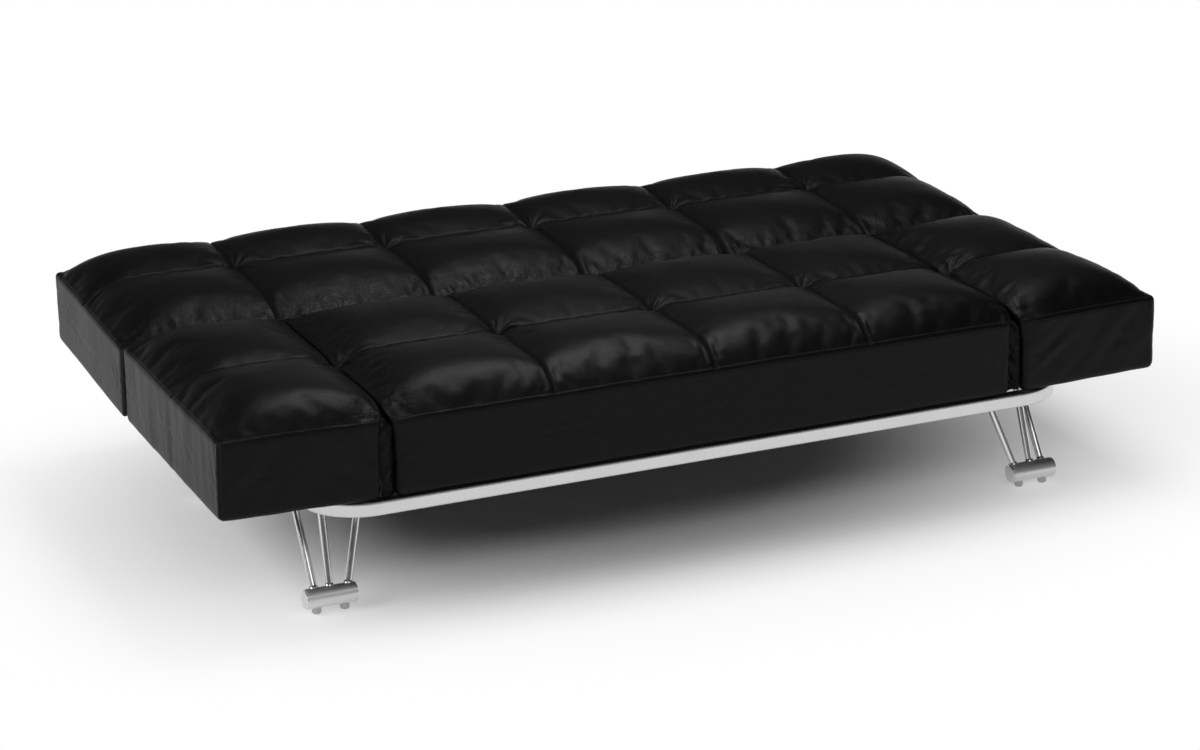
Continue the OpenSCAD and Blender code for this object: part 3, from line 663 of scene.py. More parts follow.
def store(piece: bpy.types.Object, name: str, values: np.ndarray) -> None:
    """Stores a number at each point of a mesh, for its material to read."""
    layer = piece.data.attributes.new(name, "FLOAT", "POINT")
    layer.data.foreach_set("value", values.astype(np.float32))


def work_on(piece: bpy.types.Object) -> None:
    """Selects one object only and makes it active."""
    bpy.ops.object.select_all(action="DESELECT")
    piece.select_set(True)
    bpy.context.view_layer.objects.active = piece


def apply(piece: bpy.types.Object, modifier: bpy.types.Modifier) -> None:
    """Applies a modifier."""
    work_on(piece)
    bpy.ops.object.modifier_apply(modifier=modifier.name)


def divide(piece: bpy.types.Object) -> None:
    """Divides a mesh once, and rounds it."""
    modifier = piece.modifiers.new("Divide", "SUBSURF")
    modifier.levels = 1
    modifier.render_levels = 1
    apply(piece, modifier)


def shade_smooth(piece: bpy.types.Object) -> None:
    """Shades a mesh without facets."""
    work_on(piece)
    bpy.ops.object.shade_smooth()


def lattice(name: str, across: int, along: int, rings: int, inner: int = 0) -> bpy.types.Object:
    """Makes a grid of unit size whose rim is drawn down in rings, ready to be shaped.

    The grid lies in the unit square at height 0. Ring k lies at height -k. The inner rings,
    which line the hollow underneath, follow on below, and the last one is open.

    Args:
        name: The object's name.
        across: Number of faces along X.
        along: Number of faces along Y.
        rings: Number of rings down the sides.
        inner: Number of rings of the hollow.

    Returns:
        The object, whose origin is the world's.
    """
    bpy.ops.object.select_all(action="DESELECT")
    bpy.ops.mesh.primitive_grid_add(x_subdivisions=across, y_subdivisions=along, size=1.0, location=(0.5, 0.5, 0.0))
    piece = bpy.context.object
    piece.name = name
    bpy.ops.object.mode_set(mode="EDIT")
    if rings:
        bpy.ops.mesh.select_mode(type="EDGE")
        bpy.ops.mesh.select_all(action="DESELECT")
        bpy.ops.mesh.select_non_manifold(
            use_wire=False, use_boundary=True, use_multi_face=False, use_non_contiguous=False, use_verts=False
        )
        for _ in range(rings + inner):
            bpy.ops.mesh.extrude_region_move(TRANSFORM_OT_translate={"value": (0.0, 0.0, -1.0)})
    bpy.ops.object.mode_set(mode="OBJECT")
    bpy.ops.object.transform_apply(location=True, rotation=True, scale=True)
    return piece


def close(piece: bpy.types.Object) -> None:
    """Closes the one open rim of a mesh with a flat face."""
    work_on(piece)
    bpy.ops.object.mode_set(mode="EDIT")
    bpy.ops.mesh.select_mode(type="EDGE")
    bpy.ops.mesh.select_all(action="DESELECT")
    bpy.ops.mesh.select_non_manifold(
        use_wire=False, use_boundary=True, use_multi_face=False, use_non_contiguous=False, use_verts=False
    )
    bpy.ops.mesh.edge_face_add()
    bpy.ops.object.mode_set(mode="OBJECT")


def reopen(piece: bpy.types.Object) -> None:
    """Takes the closing face off again."""
    work_on(piece)
    bpy.ops.object.mode_set(mode="EDIT")
    bpy.ops.mesh.select_mode(type="FACE")
    bpy.ops.mesh.select_all(action="DESELECT")
    bpy.ops.mesh.select_face_by_sides(number=4, type="GREATER")
    bpy.ops.mesh.delete(type="ONLY_FACE")
    bpy.ops.object.mode_set(mode="OBJECT")


def inflate(
    piece: bpy.types.Object, hold: np.ndarray, pressure: float, slack: float, cap: float, frames: int = 9
) -> None:
    """Blows a closed cover up as cloth, and keeps the shape.

    Args:
        piece: The cover.
        hold: How firmly each point is held, from 0, free, to 1, sewn down.
        pressure: The air's pressure.
        slack: Share by which the cloth is cut larger than its base.
        cap: The most that a point may move, in metres.
        frames: Length of the simulation.
    """
    scene = bpy.context.scene
    before = points_of(piece)
    group = piece.vertex_groups.new(name="held")
    for index, value in enumerate(hold):
        if value > 0.001:
            group.add([index], float(value), "REPLACE")
    modifier = piece.modifiers.new("Cloth", "CLOTH")
    cloth = modifier.settings
    cloth.quality = 5
    cloth.time_scale = 2.0
    cloth.mass = 0.35
    cloth.tension_stiffness = 18.0
    cloth.compression_stiffness = 12.0
    cloth.shear_stiffness = 6.0
    cloth.bending_stiffness = 1.2
    cloth.use_pressure = True
    cloth.uniform_pressure_force = pressure
    cloth.shrink_min = -slack
    cloth.vertex_group_mass = group.name
    cloth.pin_stiffness = 1.0
    cloth.effector_weights.gravity = 0.0
    modifier.collision_settings.use_collision = False
    modifier.point_cache.frame_start = 1
    modifier.point_cache.frame_end = frames
    for frame in range(1, frames + 1):
        scene.frame_set(frame)
    apply(piece, modifier)
    piece.vertex_groups.clear()
    scene.frame_set(1)
    moved = points_of(piece) - before
    length = np.linalg.norm(moved, axis=1, keepdims=True)
    share = np.minimum(1.0, cap / np.maximum(length, 1e-9))
    move_points(piece, before + moved * share)


def fractal(points: np.ndarray, wave: float, seed: int) -> np.ndarray:
    """Returns smooth noise from -1 to 1 at each point.

    Args:
        points: The points, as rows.
        wave: Distance over which the noise changes, in metres.
        seed: Which noise, so that two calls differ.
    """
    shift = Vector((seed * 7.31, seed * -3.17, seed * 1.93))
    return np.array([noise.noise(Vector(p) / wave + shift) for p in points])


def streaks(points: np.ndarray, along: tuple[float, float, float], wave: float, length: float, seed: int) -> np.ndarray:
    """Returns noise drawn out into folds, from -1 to 1 at each point.

    Args:
        points: The points, as rows.
        along: Direction in which the folds run.
        wave: Distance from fold to fold.
        length: Length of a fold.
        seed: Which noise.
    """
    axis = np.array(Vector(along).normalized())
    lengthwise = points @ axis
    across = points - np.outer(lengthwise, axis)
    return fractal(across / wave + np.outer(lengthwise, axis) / length, 1.0, seed)


def bell(distance: np.ndarray, width: float) -> np.ndarray:
    """Returns 1 at no distance, falling smoothly to 0 past the width."""
    return np.exp(-((distance / width) ** 2))


# ---------- Upholstery ----------


@dataclass(frozen=True)
class Shoulder:
    """How the top of a pad meets one of its sides.

    Attributes:
        kept: Share of the plateau's height that the edge itself keeps.
        reach: Distance in which the top rises to the plateau.
        power: How late the rise starts.
        sewn: Whether the stitched perimeter seam runs along this side.
        lean: How far the edge leans out over the gap beside it.
    """

    kept: float
    reach: float
    power: float
    sewn: bool
    lean: float = 0.0

    def rise(self, away: np.ndarray) -> np.ndarray:
        """Returns the share of the plateau reached at a distance from the side."""
        return self.kept + (1 - self.kept) * (1 - np.exp(-((np.maximum(away, 0) / self.reach) ** self.power)))


class Side(Enum):
    """The kinds of side that a pad has."""

    FACE = Shoulder(0.0, 0.028, 1.3, True)
    END = Shoulder(0.0, 0.044, 1.25, True)
    SEAT_JOINT = Shoulder(0.36, 0.046, 1.6, False, 0.0062)
    BACK_JOINT = Shoulder(0.42, 0.032, 1.3, False, 0.0062)
    GROOVE = Shoulder(0.52, 0.026, 1.2, False, 0.0104)


@dataclass(frozen=True)
class Folds:
    """A patch of folds on a pad.

    Attributes:
        centre: Middle of the patch, in the pad's flat frame.
        reach: Size of the patch along each axis.
        along: Direction in which the folds run.
        wave: Distance from fold to fold.
        depth: Height of the folds.
        seed: Which folds.
    """

    centre: tuple[float, float, float]
    reach: tuple[float, float, float]
    along: tuple[float, float, float]
    wave: float
    depth: float
    seed: int

    def height(self, points: np.ndarray) -> np.ndarray:
        """Returns how far the folds push each point out."""
        away = (points - np.array(self.centre)) / np.array(self.reach)
        share = np.exp(-(np.linalg.norm(away, axis=1) ** 2))
        made = np.zeros(len(points))
        near = share > 0.02
        made[near] = streaks(points[near], self.along, self.wave, self.wave * 6, self.seed) * share[near]
        return made * self.depth


@dataclass
class TuftedPad:
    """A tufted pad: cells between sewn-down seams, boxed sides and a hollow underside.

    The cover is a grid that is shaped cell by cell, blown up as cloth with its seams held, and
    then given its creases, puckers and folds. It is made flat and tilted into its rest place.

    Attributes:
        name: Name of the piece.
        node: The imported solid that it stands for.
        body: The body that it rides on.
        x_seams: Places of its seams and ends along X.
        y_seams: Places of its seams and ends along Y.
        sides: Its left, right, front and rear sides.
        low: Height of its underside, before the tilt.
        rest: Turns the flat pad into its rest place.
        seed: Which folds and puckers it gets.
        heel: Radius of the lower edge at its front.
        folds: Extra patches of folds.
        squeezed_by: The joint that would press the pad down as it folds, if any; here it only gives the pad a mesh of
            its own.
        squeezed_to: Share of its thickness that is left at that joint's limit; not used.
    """

    name: str
    node: str
    body: str
    x_seams: list[float]
    y_seams: list[float]
    sides: tuple[Side, Side, Side, Side]
    low: float
    rest: Matrix
    seed: int
    heel: float = 0.0
    folds: list[Folds] = field(default_factory=list)
    squeezed_by: str = ""
    squeezed_to: float = 1.0
    pitch: float = 0.0084
    rings: int = 17
    inner: int = 3
    corner: float = 0.012
    fill: float = 0.75
    blown: float = 0.55
    pressure: float = 4.0
    slack: float = 0.012
    cap: float = 0.022

    def build(self) -> bpy.types.Object:
        """Makes the pad, dresses it and hands it to the frame.

        Returns:
            The finished piece.
        """
        across, along = self._faces(self.x_seams), self._faces(self.y_seams)
        piece = lattice(self.name, sum(across), sum(along), self.rings, self.inner)
        self._shape(piece, across, along)
        close(piece)
        inflate(piece, self._hold(points_of(piece)), self.pressure, self.slack, self.cap)
        reopen(piece)
        divide(piece)
        self._finish_surface(piece)
        close(piece)
        piece.data.transform(self.rest)
        shade_smooth(piece)
        LEATHER.dress(piece)
        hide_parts(self.node)
        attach(piece, self.body)
        if self.squeezed_by:
            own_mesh(piece)
        log.info("%s: %d points", self.name, len(piece.data.vertices))
        return piece

    def _faces(self, seams: list[float]) -> list[int]:
        """Returns the number of faces between each pair of seams."""
        return [max(6, round((b - a) / self.pitch)) for a, b in zip(seams, seams[1:])]

    @staticmethod
    def _spread(unit: np.ndarray, seams: list[float], faces: list[int]) -> np.ndarray:
        """Places grid lines between the seams, closer together beside each seam.

        Args:
            unit: Place of each point on the unit grid.
            seams: Places of the seams.
            faces: Number of faces between them.

        Returns:
            The real place of each point.
        """
        step = unit * sum(faces)
        starts = np.concatenate([[0], np.cumsum(faces)])
        cell = np.clip(np.searchsorted(starts, step + 1e-6, side="right") - 1, 0, len(faces) - 1)
        share = (step - starts[cell]) / np.array(faces)[cell]
        share = share - 0.55 * np.sin(2 * np.pi * share) / (2 * np.pi)
        low, high = np.array(seams)[cell], np.array(seams)[cell + 1]
        return low + (high - low) * share

    def _shape(self, piece: bpy.types.Object, across: list[int], along: list[int]) -> None:
        """Gives the grid its cells, its boxed sides, its rim and its hollow.

        Args:
            piece: The unit grid with its rings.
            across: Faces between the seams along X.
            along: Faces between the seams along Y.
        """
        unit = points_of(piece)
        level = np.rint(-unit[:, 2]).astype(int)
        x = self._spread(unit[:, 0], self.x_seams, across)
        y = self._spread(unit[:, 1], self.y_seams, along)
        top = self._top(x, y)
        share = np.clip(level / self.rings, 0, 1)
        z = top + (self.low - top) * (share - 0.35 * np.sin(np.pi * share) * (1 - share) / np.pi)
        store(piece, "seam_distance", self._seam_distance(x, y, level, top - z))
        store(piece, "seam_run", np.where(self._nearest(x, y) < 2, y, x))
        tucked = 0.004 * np.clip((share - 0.94) / 0.06, 0, 1)
        x, y = self._inset(x, y, tucked)
        if self.heel:
            rear = np.maximum(0, self.heel - (y - self.y_seams[0]))
            lift = self.heel - np.sqrt(np.maximum(self.heel**2 - rear**2, 0))
            z = np.where(level > 0, np.maximum(z, self.low + lift), z)
        lining = level > self.rings
        wall = np.clip((level - self.rings - 1) / max(self.inner - 1, 1), 0, 1)
        x_in, y_in = self._inset(x, y, np.full(len(x), PLAN.skirt))
        x, y = np.where(lining, x_in, x), np.where(lining, y_in, y)
        z = np.where(lining, self.low + wall * PLAN.hollow, z)
        x, y = self._rounded(x, y)
        x, y = self._leaning(x, y, z)
        move_points(piece, np.column_stack([x, y, z]))

    def _leaning(self, x: np.ndarray, y: np.ndarray, z: np.ndarray) -> tuple[np.ndarray, np.ndarray]:
        """Lets the upper edges lean over the gaps to the neighbouring pads."""
        high = np.clip((z - PLAN.seam_height + 0.055) / 0.060, 0, 1)
        rim = self._rim(x, y)
        ends = 1 - np.exp(-rim[2] / 0.020)
        for number, (side, sign) in enumerate(zip(self.sides, (-1, 1, -1, 1))):
            if side.value.sewn:
                continue
            lean = side.value.lean * bell(rim[number], 0.022) * high**2
            if number < 2:
                x = x + sign * lean * ends
            else:
                y = y + sign * lean
        return x, y

    def _corner_distance(self, x: np.ndarray, y: np.ndarray) -> np.ndarray:
        """Returns the distance to the nearest upright corner seam, between two sewn sides."""
        made = np.ones(len(x))
        turn = self.corner * 0.293
        ends_x = ((self.x_seams[0] + turn, self.sides[0]), (self.x_seams[-1] - turn, self.sides[1]))
        ends_y = ((self.y_seams[0] + turn, self.sides[2]), (self.y_seams[-1] - turn, self.sides[3]))
        for at_x, side_x in ends_x:
            for at_y, side_y in ends_y:
                if side_x.value.sewn and side_y.value.sewn:
                    made = np.minimum(made, np.hypot(x - at_x, y - at_y))
        return made

    def _rim(self, x: np.ndarray, y: np.ndarray) -> np.ndarray:
        """Returns the distance to the left, right, front and rear sides, as rows."""
        return np.stack([x - self.x_seams[0], self.x_seams[-1] - x, y - self.y_seams[0], self.y_seams[-1] - y])

    def _nearest(self, x: np.ndarray, y: np.ndarray) -> np.ndarray:
        """Returns the number of the nearest side: left, right, front, rear."""
        return np.argmin(self._rim(x, y), axis=0)

    def _seam_distance(self, x: np.ndarray, y: np.ndarray, level: np.ndarray, drop: np.ndarray) -> np.ndarray:
        """Returns how far each point lies from the stitched seam, over the surface."""
        rim = self._rim(x, y)
        for number, side in enumerate(self.sides):
            if not side.value.sewn:
                rim[number] = 1.0
        return np.where(level > 0, -drop - rim.min(axis=0), rim.min(axis=0))

    def _inset(self, x: np.ndarray, y: np.ndarray, by: np.ndarray) -> tuple[np.ndarray, np.ndarray]:
        """Draws points towards the pad's middle, so that its rim moves in by a distance."""
        cx, cy = (self.x_seams[0] + self.x_seams[-1]) / 2, (self.y_seams[0] + self.y_seams[-1]) / 2
        hx, hy = self.x_seams[-1] - cx, self.y_seams[-1] - cy
        return cx + (x - cx) * (1 - by / hx), cy + (y - cy) * (1 - by / hy)

    def _rounded(self, x: np.ndarray, y: np.ndarray) -> tuple[np.ndarray, np.ndarray]:
        """Rounds the pad's four upright corners."""
        cx, cy = (self.x_seams[0] + self.x_seams[-1]) / 2, (self.y_seams[0] + self.y_seams[-1]) / 2
        hx, hy = self.x_seams[-1] - cx - self.corner, self.y_seams[-1] - cy - self.corner
        dx, dy = np.abs(x - cx) - hx, np.abs(y - cy) - hy
        inside = (dx > 0) & (dy > 0)
        long = np.hypot(dx, dy)
        scale = np.where(inside & (long > 1e-9), np.maximum(dx, dy) / np.maximum(long, 1e-9), 1.0)
        x = np.where(inside, cx + np.sign(x - cx) * (hx + dx * scale), x)
        y = np.where(inside, cy + np.sign(y - cy) * (hy + dy * scale), y)
        return x, y

    def _share(self, place: np.ndarray, seams: list[float]) -> np.ndarray:
        """Returns how far each place lies through its cell, from 0 to 1."""
        line = np.array(seams)
        cell = np.clip(np.searchsorted(line, place, side="right") - 1, 0, len(line) - 2)
        return np.clip((place - line[cell]) / (line[cell + 1] - line[cell]), 0, 1)

    def _cell(self, x: np.ndarray, y: np.ndarray) -> np.ndarray:
        """Returns the rounded height of the cell at each place, from 0 at its seams to 1."""
        s, t = self._share(x, self.x_seams), self._share(y, self.y_seams)
        return (1 - np.abs(2 * s - 1) ** 2.3) * (1 - np.abs(2 * t - 1) ** 2.5)

    def _plateau(self, x: np.ndarray, y: np.ndarray) -> np.ndarray:
        """Returns the share of the plateau reached at each place, from the four sides."""
        sewn, loose = np.ones(len(x)), np.ones(len(x))
        for side, away in zip(self.sides, self._rim(x, y)):
            if side.value.sewn:
                sewn = sewn * side.value.rise(away)
            else:
                loose = np.minimum(loose, side.value.rise(away))
        return sewn * loose

    def _tufts(self) -> Iterator[tuple[float, float]]:
        """Yields the places where a row seam crosses a column seam or a groove."""
        for number, x in enumerate(self.x_seams):
            side = {0: self.sides[0], len(self.x_seams) - 1: self.sides[1]}.get(number)
            if side in (None, Side.GROOVE):
                for y in self.y_seams[1:-1]:
                    yield x, y

    def _top(self, x: np.ndarray, y: np.ndarray) -> np.ndarray:
        """Returns the height of the cover's base at each place."""
        rise = PLAN.plateau * self._plateau(x, y)
        rise = rise + (PLAN.crown - PLAN.plateau) * self.blown * self._cell(x, y)
        for tx, ty in self._tufts():
            rise = rise - 0.009 * bell(np.hypot(x - tx, y - ty), 0.026)
        return PLAN.seam_height + rise

    def _hold(self, points: np.ndarray) -> np.ndarray:
        """Returns how firmly each point is held while the cover is blown up."""
        x, y, z = points.T
        hold = np.zeros(len(points))
        for seam in self.x_seams[1:-1]:
            hold = np.where(np.abs(x - seam) < 0.0008, 1.0, hold)
        for seam in self.y_seams[1:-1]:
            hold = np.where(np.abs(y - seam) < 0.0008, 1.0, hold)
        rim = self._rim(x, y).min(axis=0)
        hold = np.where(rim < self.corner * 0.3 + 0.0008, 1.0, hold)
        side = np.clip((z - self.low) / (PLAN.seam_height - self.low), 0, 1)
        loose = (rim < 0.0009) & (side < 0.97) & (side > 0.03)
        hold = np.where(loose, 1.0 - 0.55 * np.sin(np.pi * side), hold)
        inner = (z < PLAN.seam_height - 0.02) & (rim > PLAN.skirt * 0.5)
        return np.where(inner | (side < 0.03), 1.0, hold)

    def _finish_surface(self, piece: bpy.types.Object) -> None:
        """Adds the creases, puckers, seam valleys and folds to the blown cover, and stores the crease mask along which
        the leather paints shade.
        """
        points, outward = points_of(piece), normals_of(piece)
        x, y, z = points.T
        rim = self._rim(x, y)
        upper = np.clip((z - PLAN.seam_height + 0.004) / 0.012, 0, 1) * (rim.min(axis=0) > -0.004)
        slack = np.zeros(len(points))
        out = 0.0011 * fractal(points, 0.11, self.seed) * (rim.min(axis=0) < PLAN.hollow)
        out += 0.0014 * fractal(points, 0.16, self.seed + 1) * upper
        # The crease mask sinks the seam valleys here, and the leather paints shade along it.
        crease = np.zeros(len(points))
        for seam in self.x_seams[1:-1]:
            crease = np.maximum(crease, bell(x - seam, 0.0030) * upper)
            out += 0.0010 * bell(x - seam, 0.020) * streaks(points, (1, 0, 0), 0.011, 0.09, self.seed + 2) * upper
        for seam in self.y_seams[1:-1]:
            crease = np.maximum(crease, bell(y - seam, 0.0030) * upper)
            out += 0.0008 * bell(y - seam, 0.018) * streaks(points, (0, 1, 0), 0.013, 0.09, self.seed + 3) * upper
        out -= 0.0034 * crease
        corner = self._corner_distance(x, y)
        below = z < PLAN.seam_height + 0.001
        # The upright corner seams go into the mask only for the leather's painted shade.
        crease = np.maximum(crease, 0.6 * bell(corner, 0.0022) * below)
        out -= 0.0012 * bell(corner, 0.0026) * below
        pucker = bell(corner, 0.030) * bell(z - PLAN.seam_height, 0.040)
        out += 0.0016 * pucker * fractal(points * np.array([1.0, 1.0, 0.5]), 0.009, self.seed + 9)
        # Stored for the leather, which paints shade with it: darker and rougher along the seams.
        store(piece, "crease", crease)
        for number, (tx, ty) in enumerate(self._tufts()):
            dx, dy = x - tx, y - ty
            away = np.hypot(dx, dy)
            near = (away < 0.13) & (upper > 0)
            ring = np.column_stack([dx[near], dy[near], np.zeros(near.sum())]) / np.maximum(away[near], 1e-6)[:, None]
            ring[:, 2] = away[near] * 7.0
            fan = fractal(ring * np.array([4.4, 4.4, 1.0]), 1.0, self.seed * 13 + number)
            out[near] += 0.0046 * fan * bell(away[near] - 0.020, 0.028)
            slack = np.maximum(slack, bell(away, 0.07))
        for side, away in zip(self.sides, rim):
            if side.value.sewn:
                out -= 0.0010 * bell(away, 0.0022) * bell(z - PLAN.seam_height, 0.0022)
            else:
                axis = (1, 0, 0) if side is Side.GROOVE else (0, 1, 0)
                shelf = bell(away - 0.006, 0.030) * upper
                out += 0.0030 * shelf * streaks(points, axis, 0.014, 0.08, self.seed + 4)
                slack = np.maximum(slack, 0.8 * bell(away, 0.05))
        for patch in self.folds:
            out += patch.height(points)
        store(piece, "slack", np.clip(slack + 0.12, 0, 1))
        move_points(piece, points + outward * out[:, None])


@dataclass
class Gusset:
    """A gathered strip of thin leather that closes the gap between two pads.

    It runs along a path, sits a little below the pads' edges and is crumpled, because it has to
    open out when the pads fold.

    Attributes:
        name: Name of the piece.
        pair: The two bodies that it joins; not used.
        path: Points along its middle line.
        across: Direction from the first body to the second.
        width: Its width.
        wave: Distance from fold to fold.
        depth: Depth of its folds.
        seed: Which folds.
        over: Place along Y and height of each hinge that it is draped over.
    """

    name: str
    pair: tuple[str, str]
    path: np.ndarray
    across: tuple[float, float, float]
    width: float
    wave: float
    depth: float
    seed: int
    over: tuple[tuple[float, float], ...] = ()
    step: float = 0.004

    def build(self) -> bpy.types.Object:
        """Makes the strip and dresses it.

        Returns:
            The finished piece.
        """
        legs = np.linalg.norm(np.diff(self.path, axis=0), axis=1)
        run = np.concatenate([[0], np.cumsum(legs)])
        piece = lattice(self.name, 10, max(8, round(run[-1] / self.step)), 0)
        unit = points_of(piece)
        place = np.column_stack([np.interp(unit[:, 1] * run[-1], run, self.path[:, i]) for i in range(3)])
        ahead = np.column_stack([np.interp(unit[:, 1] * run[-1] + 0.006, run, self.path[:, i]) for i in range(3)])
        behind = np.column_stack([np.interp(unit[:, 1] * run[-1] - 0.006, run, self.path[:, i]) for i in range(3)])
        side = np.array(Vector(self.across).normalized())
        forward = ahead - behind
        forward /= np.linalg.norm(forward, axis=1, keepdims=True)
        outward = np.cross(side, forward)
        offset = (unit[:, 0] - 0.5) * self.width
        flat = np.column_stack([offset, unit[:, 1] * run[-1], np.zeros(len(unit))])
        fold = streaks(flat, (1.0, 0.55, 0), self.wave, 0.05, self.seed)
        fold = fold + 0.7 * streaks(flat, (1.0, -0.8, 0), self.wave * 0.6, 0.04, self.seed + 1)
        free = np.sin(np.pi * np.clip(unit[:, 0], 0.04, 0.96))
        lift = self.depth * (fold * free - 0.5 * free)
        drift = 0.35 * self.depth * fractal(flat, 0.02, self.seed + 2) * free
        points = place + np.outer(offset, side) + outward * lift[:, None] + forward * drift[:, None]
        for hinge, top in self.over:
            away = np.abs(points[:, 1] - hinge)
            drape = top - 0.010 * np.clip((away - 0.013) / 0.014, 0, 1)
            near = (away < 0.027) & (points[:, 2] > top - 0.025)
            points[:, 2] = np.where(near, np.maximum(points[:, 2], drape), points[:, 2])
        move_points(piece, points)
        divide(piece)
        # A zero crease mask: the gusset gets no painted crease shade.
        for name, value in (("seam_distance", 1.0), ("seam_run", 0.0), ("slack", 1.0), ("crease", 0.0)):
            store(piece, name, np.full(len(piece.data.vertices), value))
        shade_smooth(piece)
        LEATHER.dress(piece)
        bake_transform(piece)
        log.info("%s: %.3f m long", self.name, run[-1])
        return piece


@dataclass
class Upholstery:
    """The four pads and the gussets between them."""

    frame: dict[str, Any]

    def build(self) -> None:
        """Makes every pad and gusset."""
        for pad in (self.seat(), self.back(), self.arm(-1), self.arm(1)):
            pad.build()
        for side in (-1, 1):
            self.arm_gusset(side).build()
        self.joint_gusset().build()

    def pivot(self, joint: str) -> Vector:
        """Returns the place of a joint."""
        found = next(j for j in self.frame["joints"] if j["name"] == joint)
        return Vector(found["pos_m"])

    def tilt(self, joint: str, angle: float, axis: tuple[float, float, float]) -> Matrix:
        """Returns the turn about a joint's pivot that brings a flat pad to its rest place."""
        at = self.pivot(joint)
        return Matrix.Translation(at) @ Matrix.Rotation(angle, 4, Vector(axis)) @ Matrix.Translation(-at)

    def seat(self) -> TuftedPad:
        """Returns the seat's pad, with four columns of two cells."""
        low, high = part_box("seat_pad")
        return TuftedPad(
            "seat_cushion",
            "seat_pad",
            "base",
            [low.x, *PLAN.column_seams()[1:-1], high.x],
            [low.y, low.y + PLAN.front_row, high.y],
            (Side.GROOVE, Side.GROOVE, Side.FACE, Side.SEAT_JOINT),
            low.z,
            Matrix.Identity(4),
            seed=3,
        )

    def back(self) -> TuftedPad:
        """Returns the back's pad, with six columns of two cells."""
        front, back_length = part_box("seat_pad")[1].y + PLAN.joint_gap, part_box("back_pad")[1].x
        joint = front - PLAN.joint_gap / 2
        rear = joint + 0.457
        return TuftedPad(
            "back_cushion",
            "back_pad",
            "back",
            [-back_length, *PLAN.column_seams(), back_length],
            [front, joint + PLAN.back_row, rear],
            (Side.END, Side.END, Side.BACK_JOINT, Side.FACE),
            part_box("seat_pad")[0].z + 0.001,
            self.tilt("back_fold", PLAN.back_tilt, (1, 0, 0)),
            seed=23,
            heel=0.02,
        )

    def arm(self, side: int) -> TuftedPad:
        """Returns one arm's pad, of two cells.

        Args:
            side: -1 for the left arm, 1 for the right.
        """
        seat_low, seat_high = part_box("seat_pad")
        word = "left" if side < 0 else "right"
        inner = PLAN.seat_length - seat_high.x
        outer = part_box("back_pad")[1].x
        ends = [-outer, -inner] if side < 0 else [inner, outer]
        sides = (Side.END, Side.GROOVE) if side < 0 else (Side.GROOVE, Side.END)
        return TuftedPad(
            f"{word}_arm_cushion",
            f"{word}_arm_pad",
            f"{word}_arm",
            ends,
            [seat_low.y, seat_low.y + PLAN.front_row, seat_high.y],
            (*sides, Side.FACE, Side.SEAT_JOINT),
            seat_low.z,
            self.tilt(f"{word}_arm_fold", PLAN.arm_tilt, (0, -side, 0)),
            seed=41 if side < 0 else 57,
            folds=self.arm_folds(side, inner, outer, seat_low.y),
            squeezed_by=f"{word}_arm_fold",
            squeezed_to=0.80,
        )

    @staticmethod
    def arm_folds(side: int, inner: float, outer: float, front: float) -> list[Folds]:
        """Returns the folds on one arm's front face, edges and end.

        Args:
            side: -1 for the left arm, 1 for the right.
            inner: Distance of its inner side from the middle.
            outer: Distance of its outer end from the middle.
            front: Place of its front face.
        """
        middle = (inner + outer) / 2
        face = 0.285
        return [
            Folds((side * (inner + 0.05), front, face + 0.02), (0.06, 0.03, 0.07), (side * 0.8, 0, 0.6), 0.020, 0.0034, 5),
            Folds((side * (middle + 0.06), front, face), (0.09, 0.03, 0.07), (0.62, 0, 0.78), 0.034, 0.0026, 6),
            Folds((side * (outer - 0.04), front + 0.06, 0.372), (0.05, 0.10, 0.04), (0.7, 0.5, 0), 0.014, 0.0012, 7),
            Folds((side * outer, front + 0.25, face), (0.03, 0.30, 0.08), (0, 0.15, 1), 0.030, 0.0016, 8),
        ]

    def arm_gusset(self, side: int) -> Gusset:
        """Returns the strip between the seat and one arm, up the front and along the top."""
        low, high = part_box("seat_pad")
        front = low.y + 0.013
        top = [self.groove_height(y - low.y, high.y - y) for y in np.linspace(low.y + 0.010, high.y, 40)]
        rise = [(side * PLAN.seat_length / 2, front, z) for z in np.linspace(low.z + 0.003, top[0] - 0.006, 20)]
        along = [(side * PLAN.seat_length / 2, y, z) for y, z in zip(np.linspace(low.y + 0.012, high.y, 40), top)]
        word = "left" if side < 0 else "right"
        gap = PLAN.seat_length - 2 * high.x
        return Gusset(
            f"{word}_arm_gusset",
            ("base", f"{word}_arm"),
            np.array(rise + along),
            (side, 0, 0),
            gap + 0.002,
            0.019,
            0.0085,
            seed=71 if side < 0 else 83,
            over=self.hinges(word),
        )

    @staticmethod
    def hinges(word: str) -> tuple[tuple[float, float], ...]:
        """Returns the place along Y and the covered height of one arm's two hinges.

        Args:
            word: "left" or "right".
        """
        front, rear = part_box(f"{word}_arm_ratchet_wheels")
        middle, clear = 0.0025, 0.002
        return ((front.y + middle, rear.z + clear), (rear.y - middle, rear.z + clear))

    @staticmethod
    def groove_height(front: float, rear: float) -> float:
        """Returns the height of a gusset's top at its distances from the front and the joint."""
        groove, face, joint = Side.GROOVE.value, Side.FACE.value, Side.SEAT_JOINT.value
        share = groove.kept * face.rise(np.array([front]))[0] * joint.rise(np.array([rear]))[0]
        return PLAN.seam_height + PLAN.plateau * share - 0.015

    def joint_gusset(self) -> Gusset:
        """Returns the strip between the seat and the back."""
        low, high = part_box("seat_pad")
        middle = high.y + PLAN.joint_gap / 2
        height = PLAN.seam_height + PLAN.plateau * Side.SEAT_JOINT.value.kept - 0.010
        path = [(x, middle, height) for x in np.linspace(high.x, low.x, 60)]
        return Gusset(
            "joint_gusset", ("base", "back"), np.array(path), (0, 1, 0), PLAN.joint_gap + 0.002, 0.014, 0.003, seed=97
        )


# ---------- Studio ----------


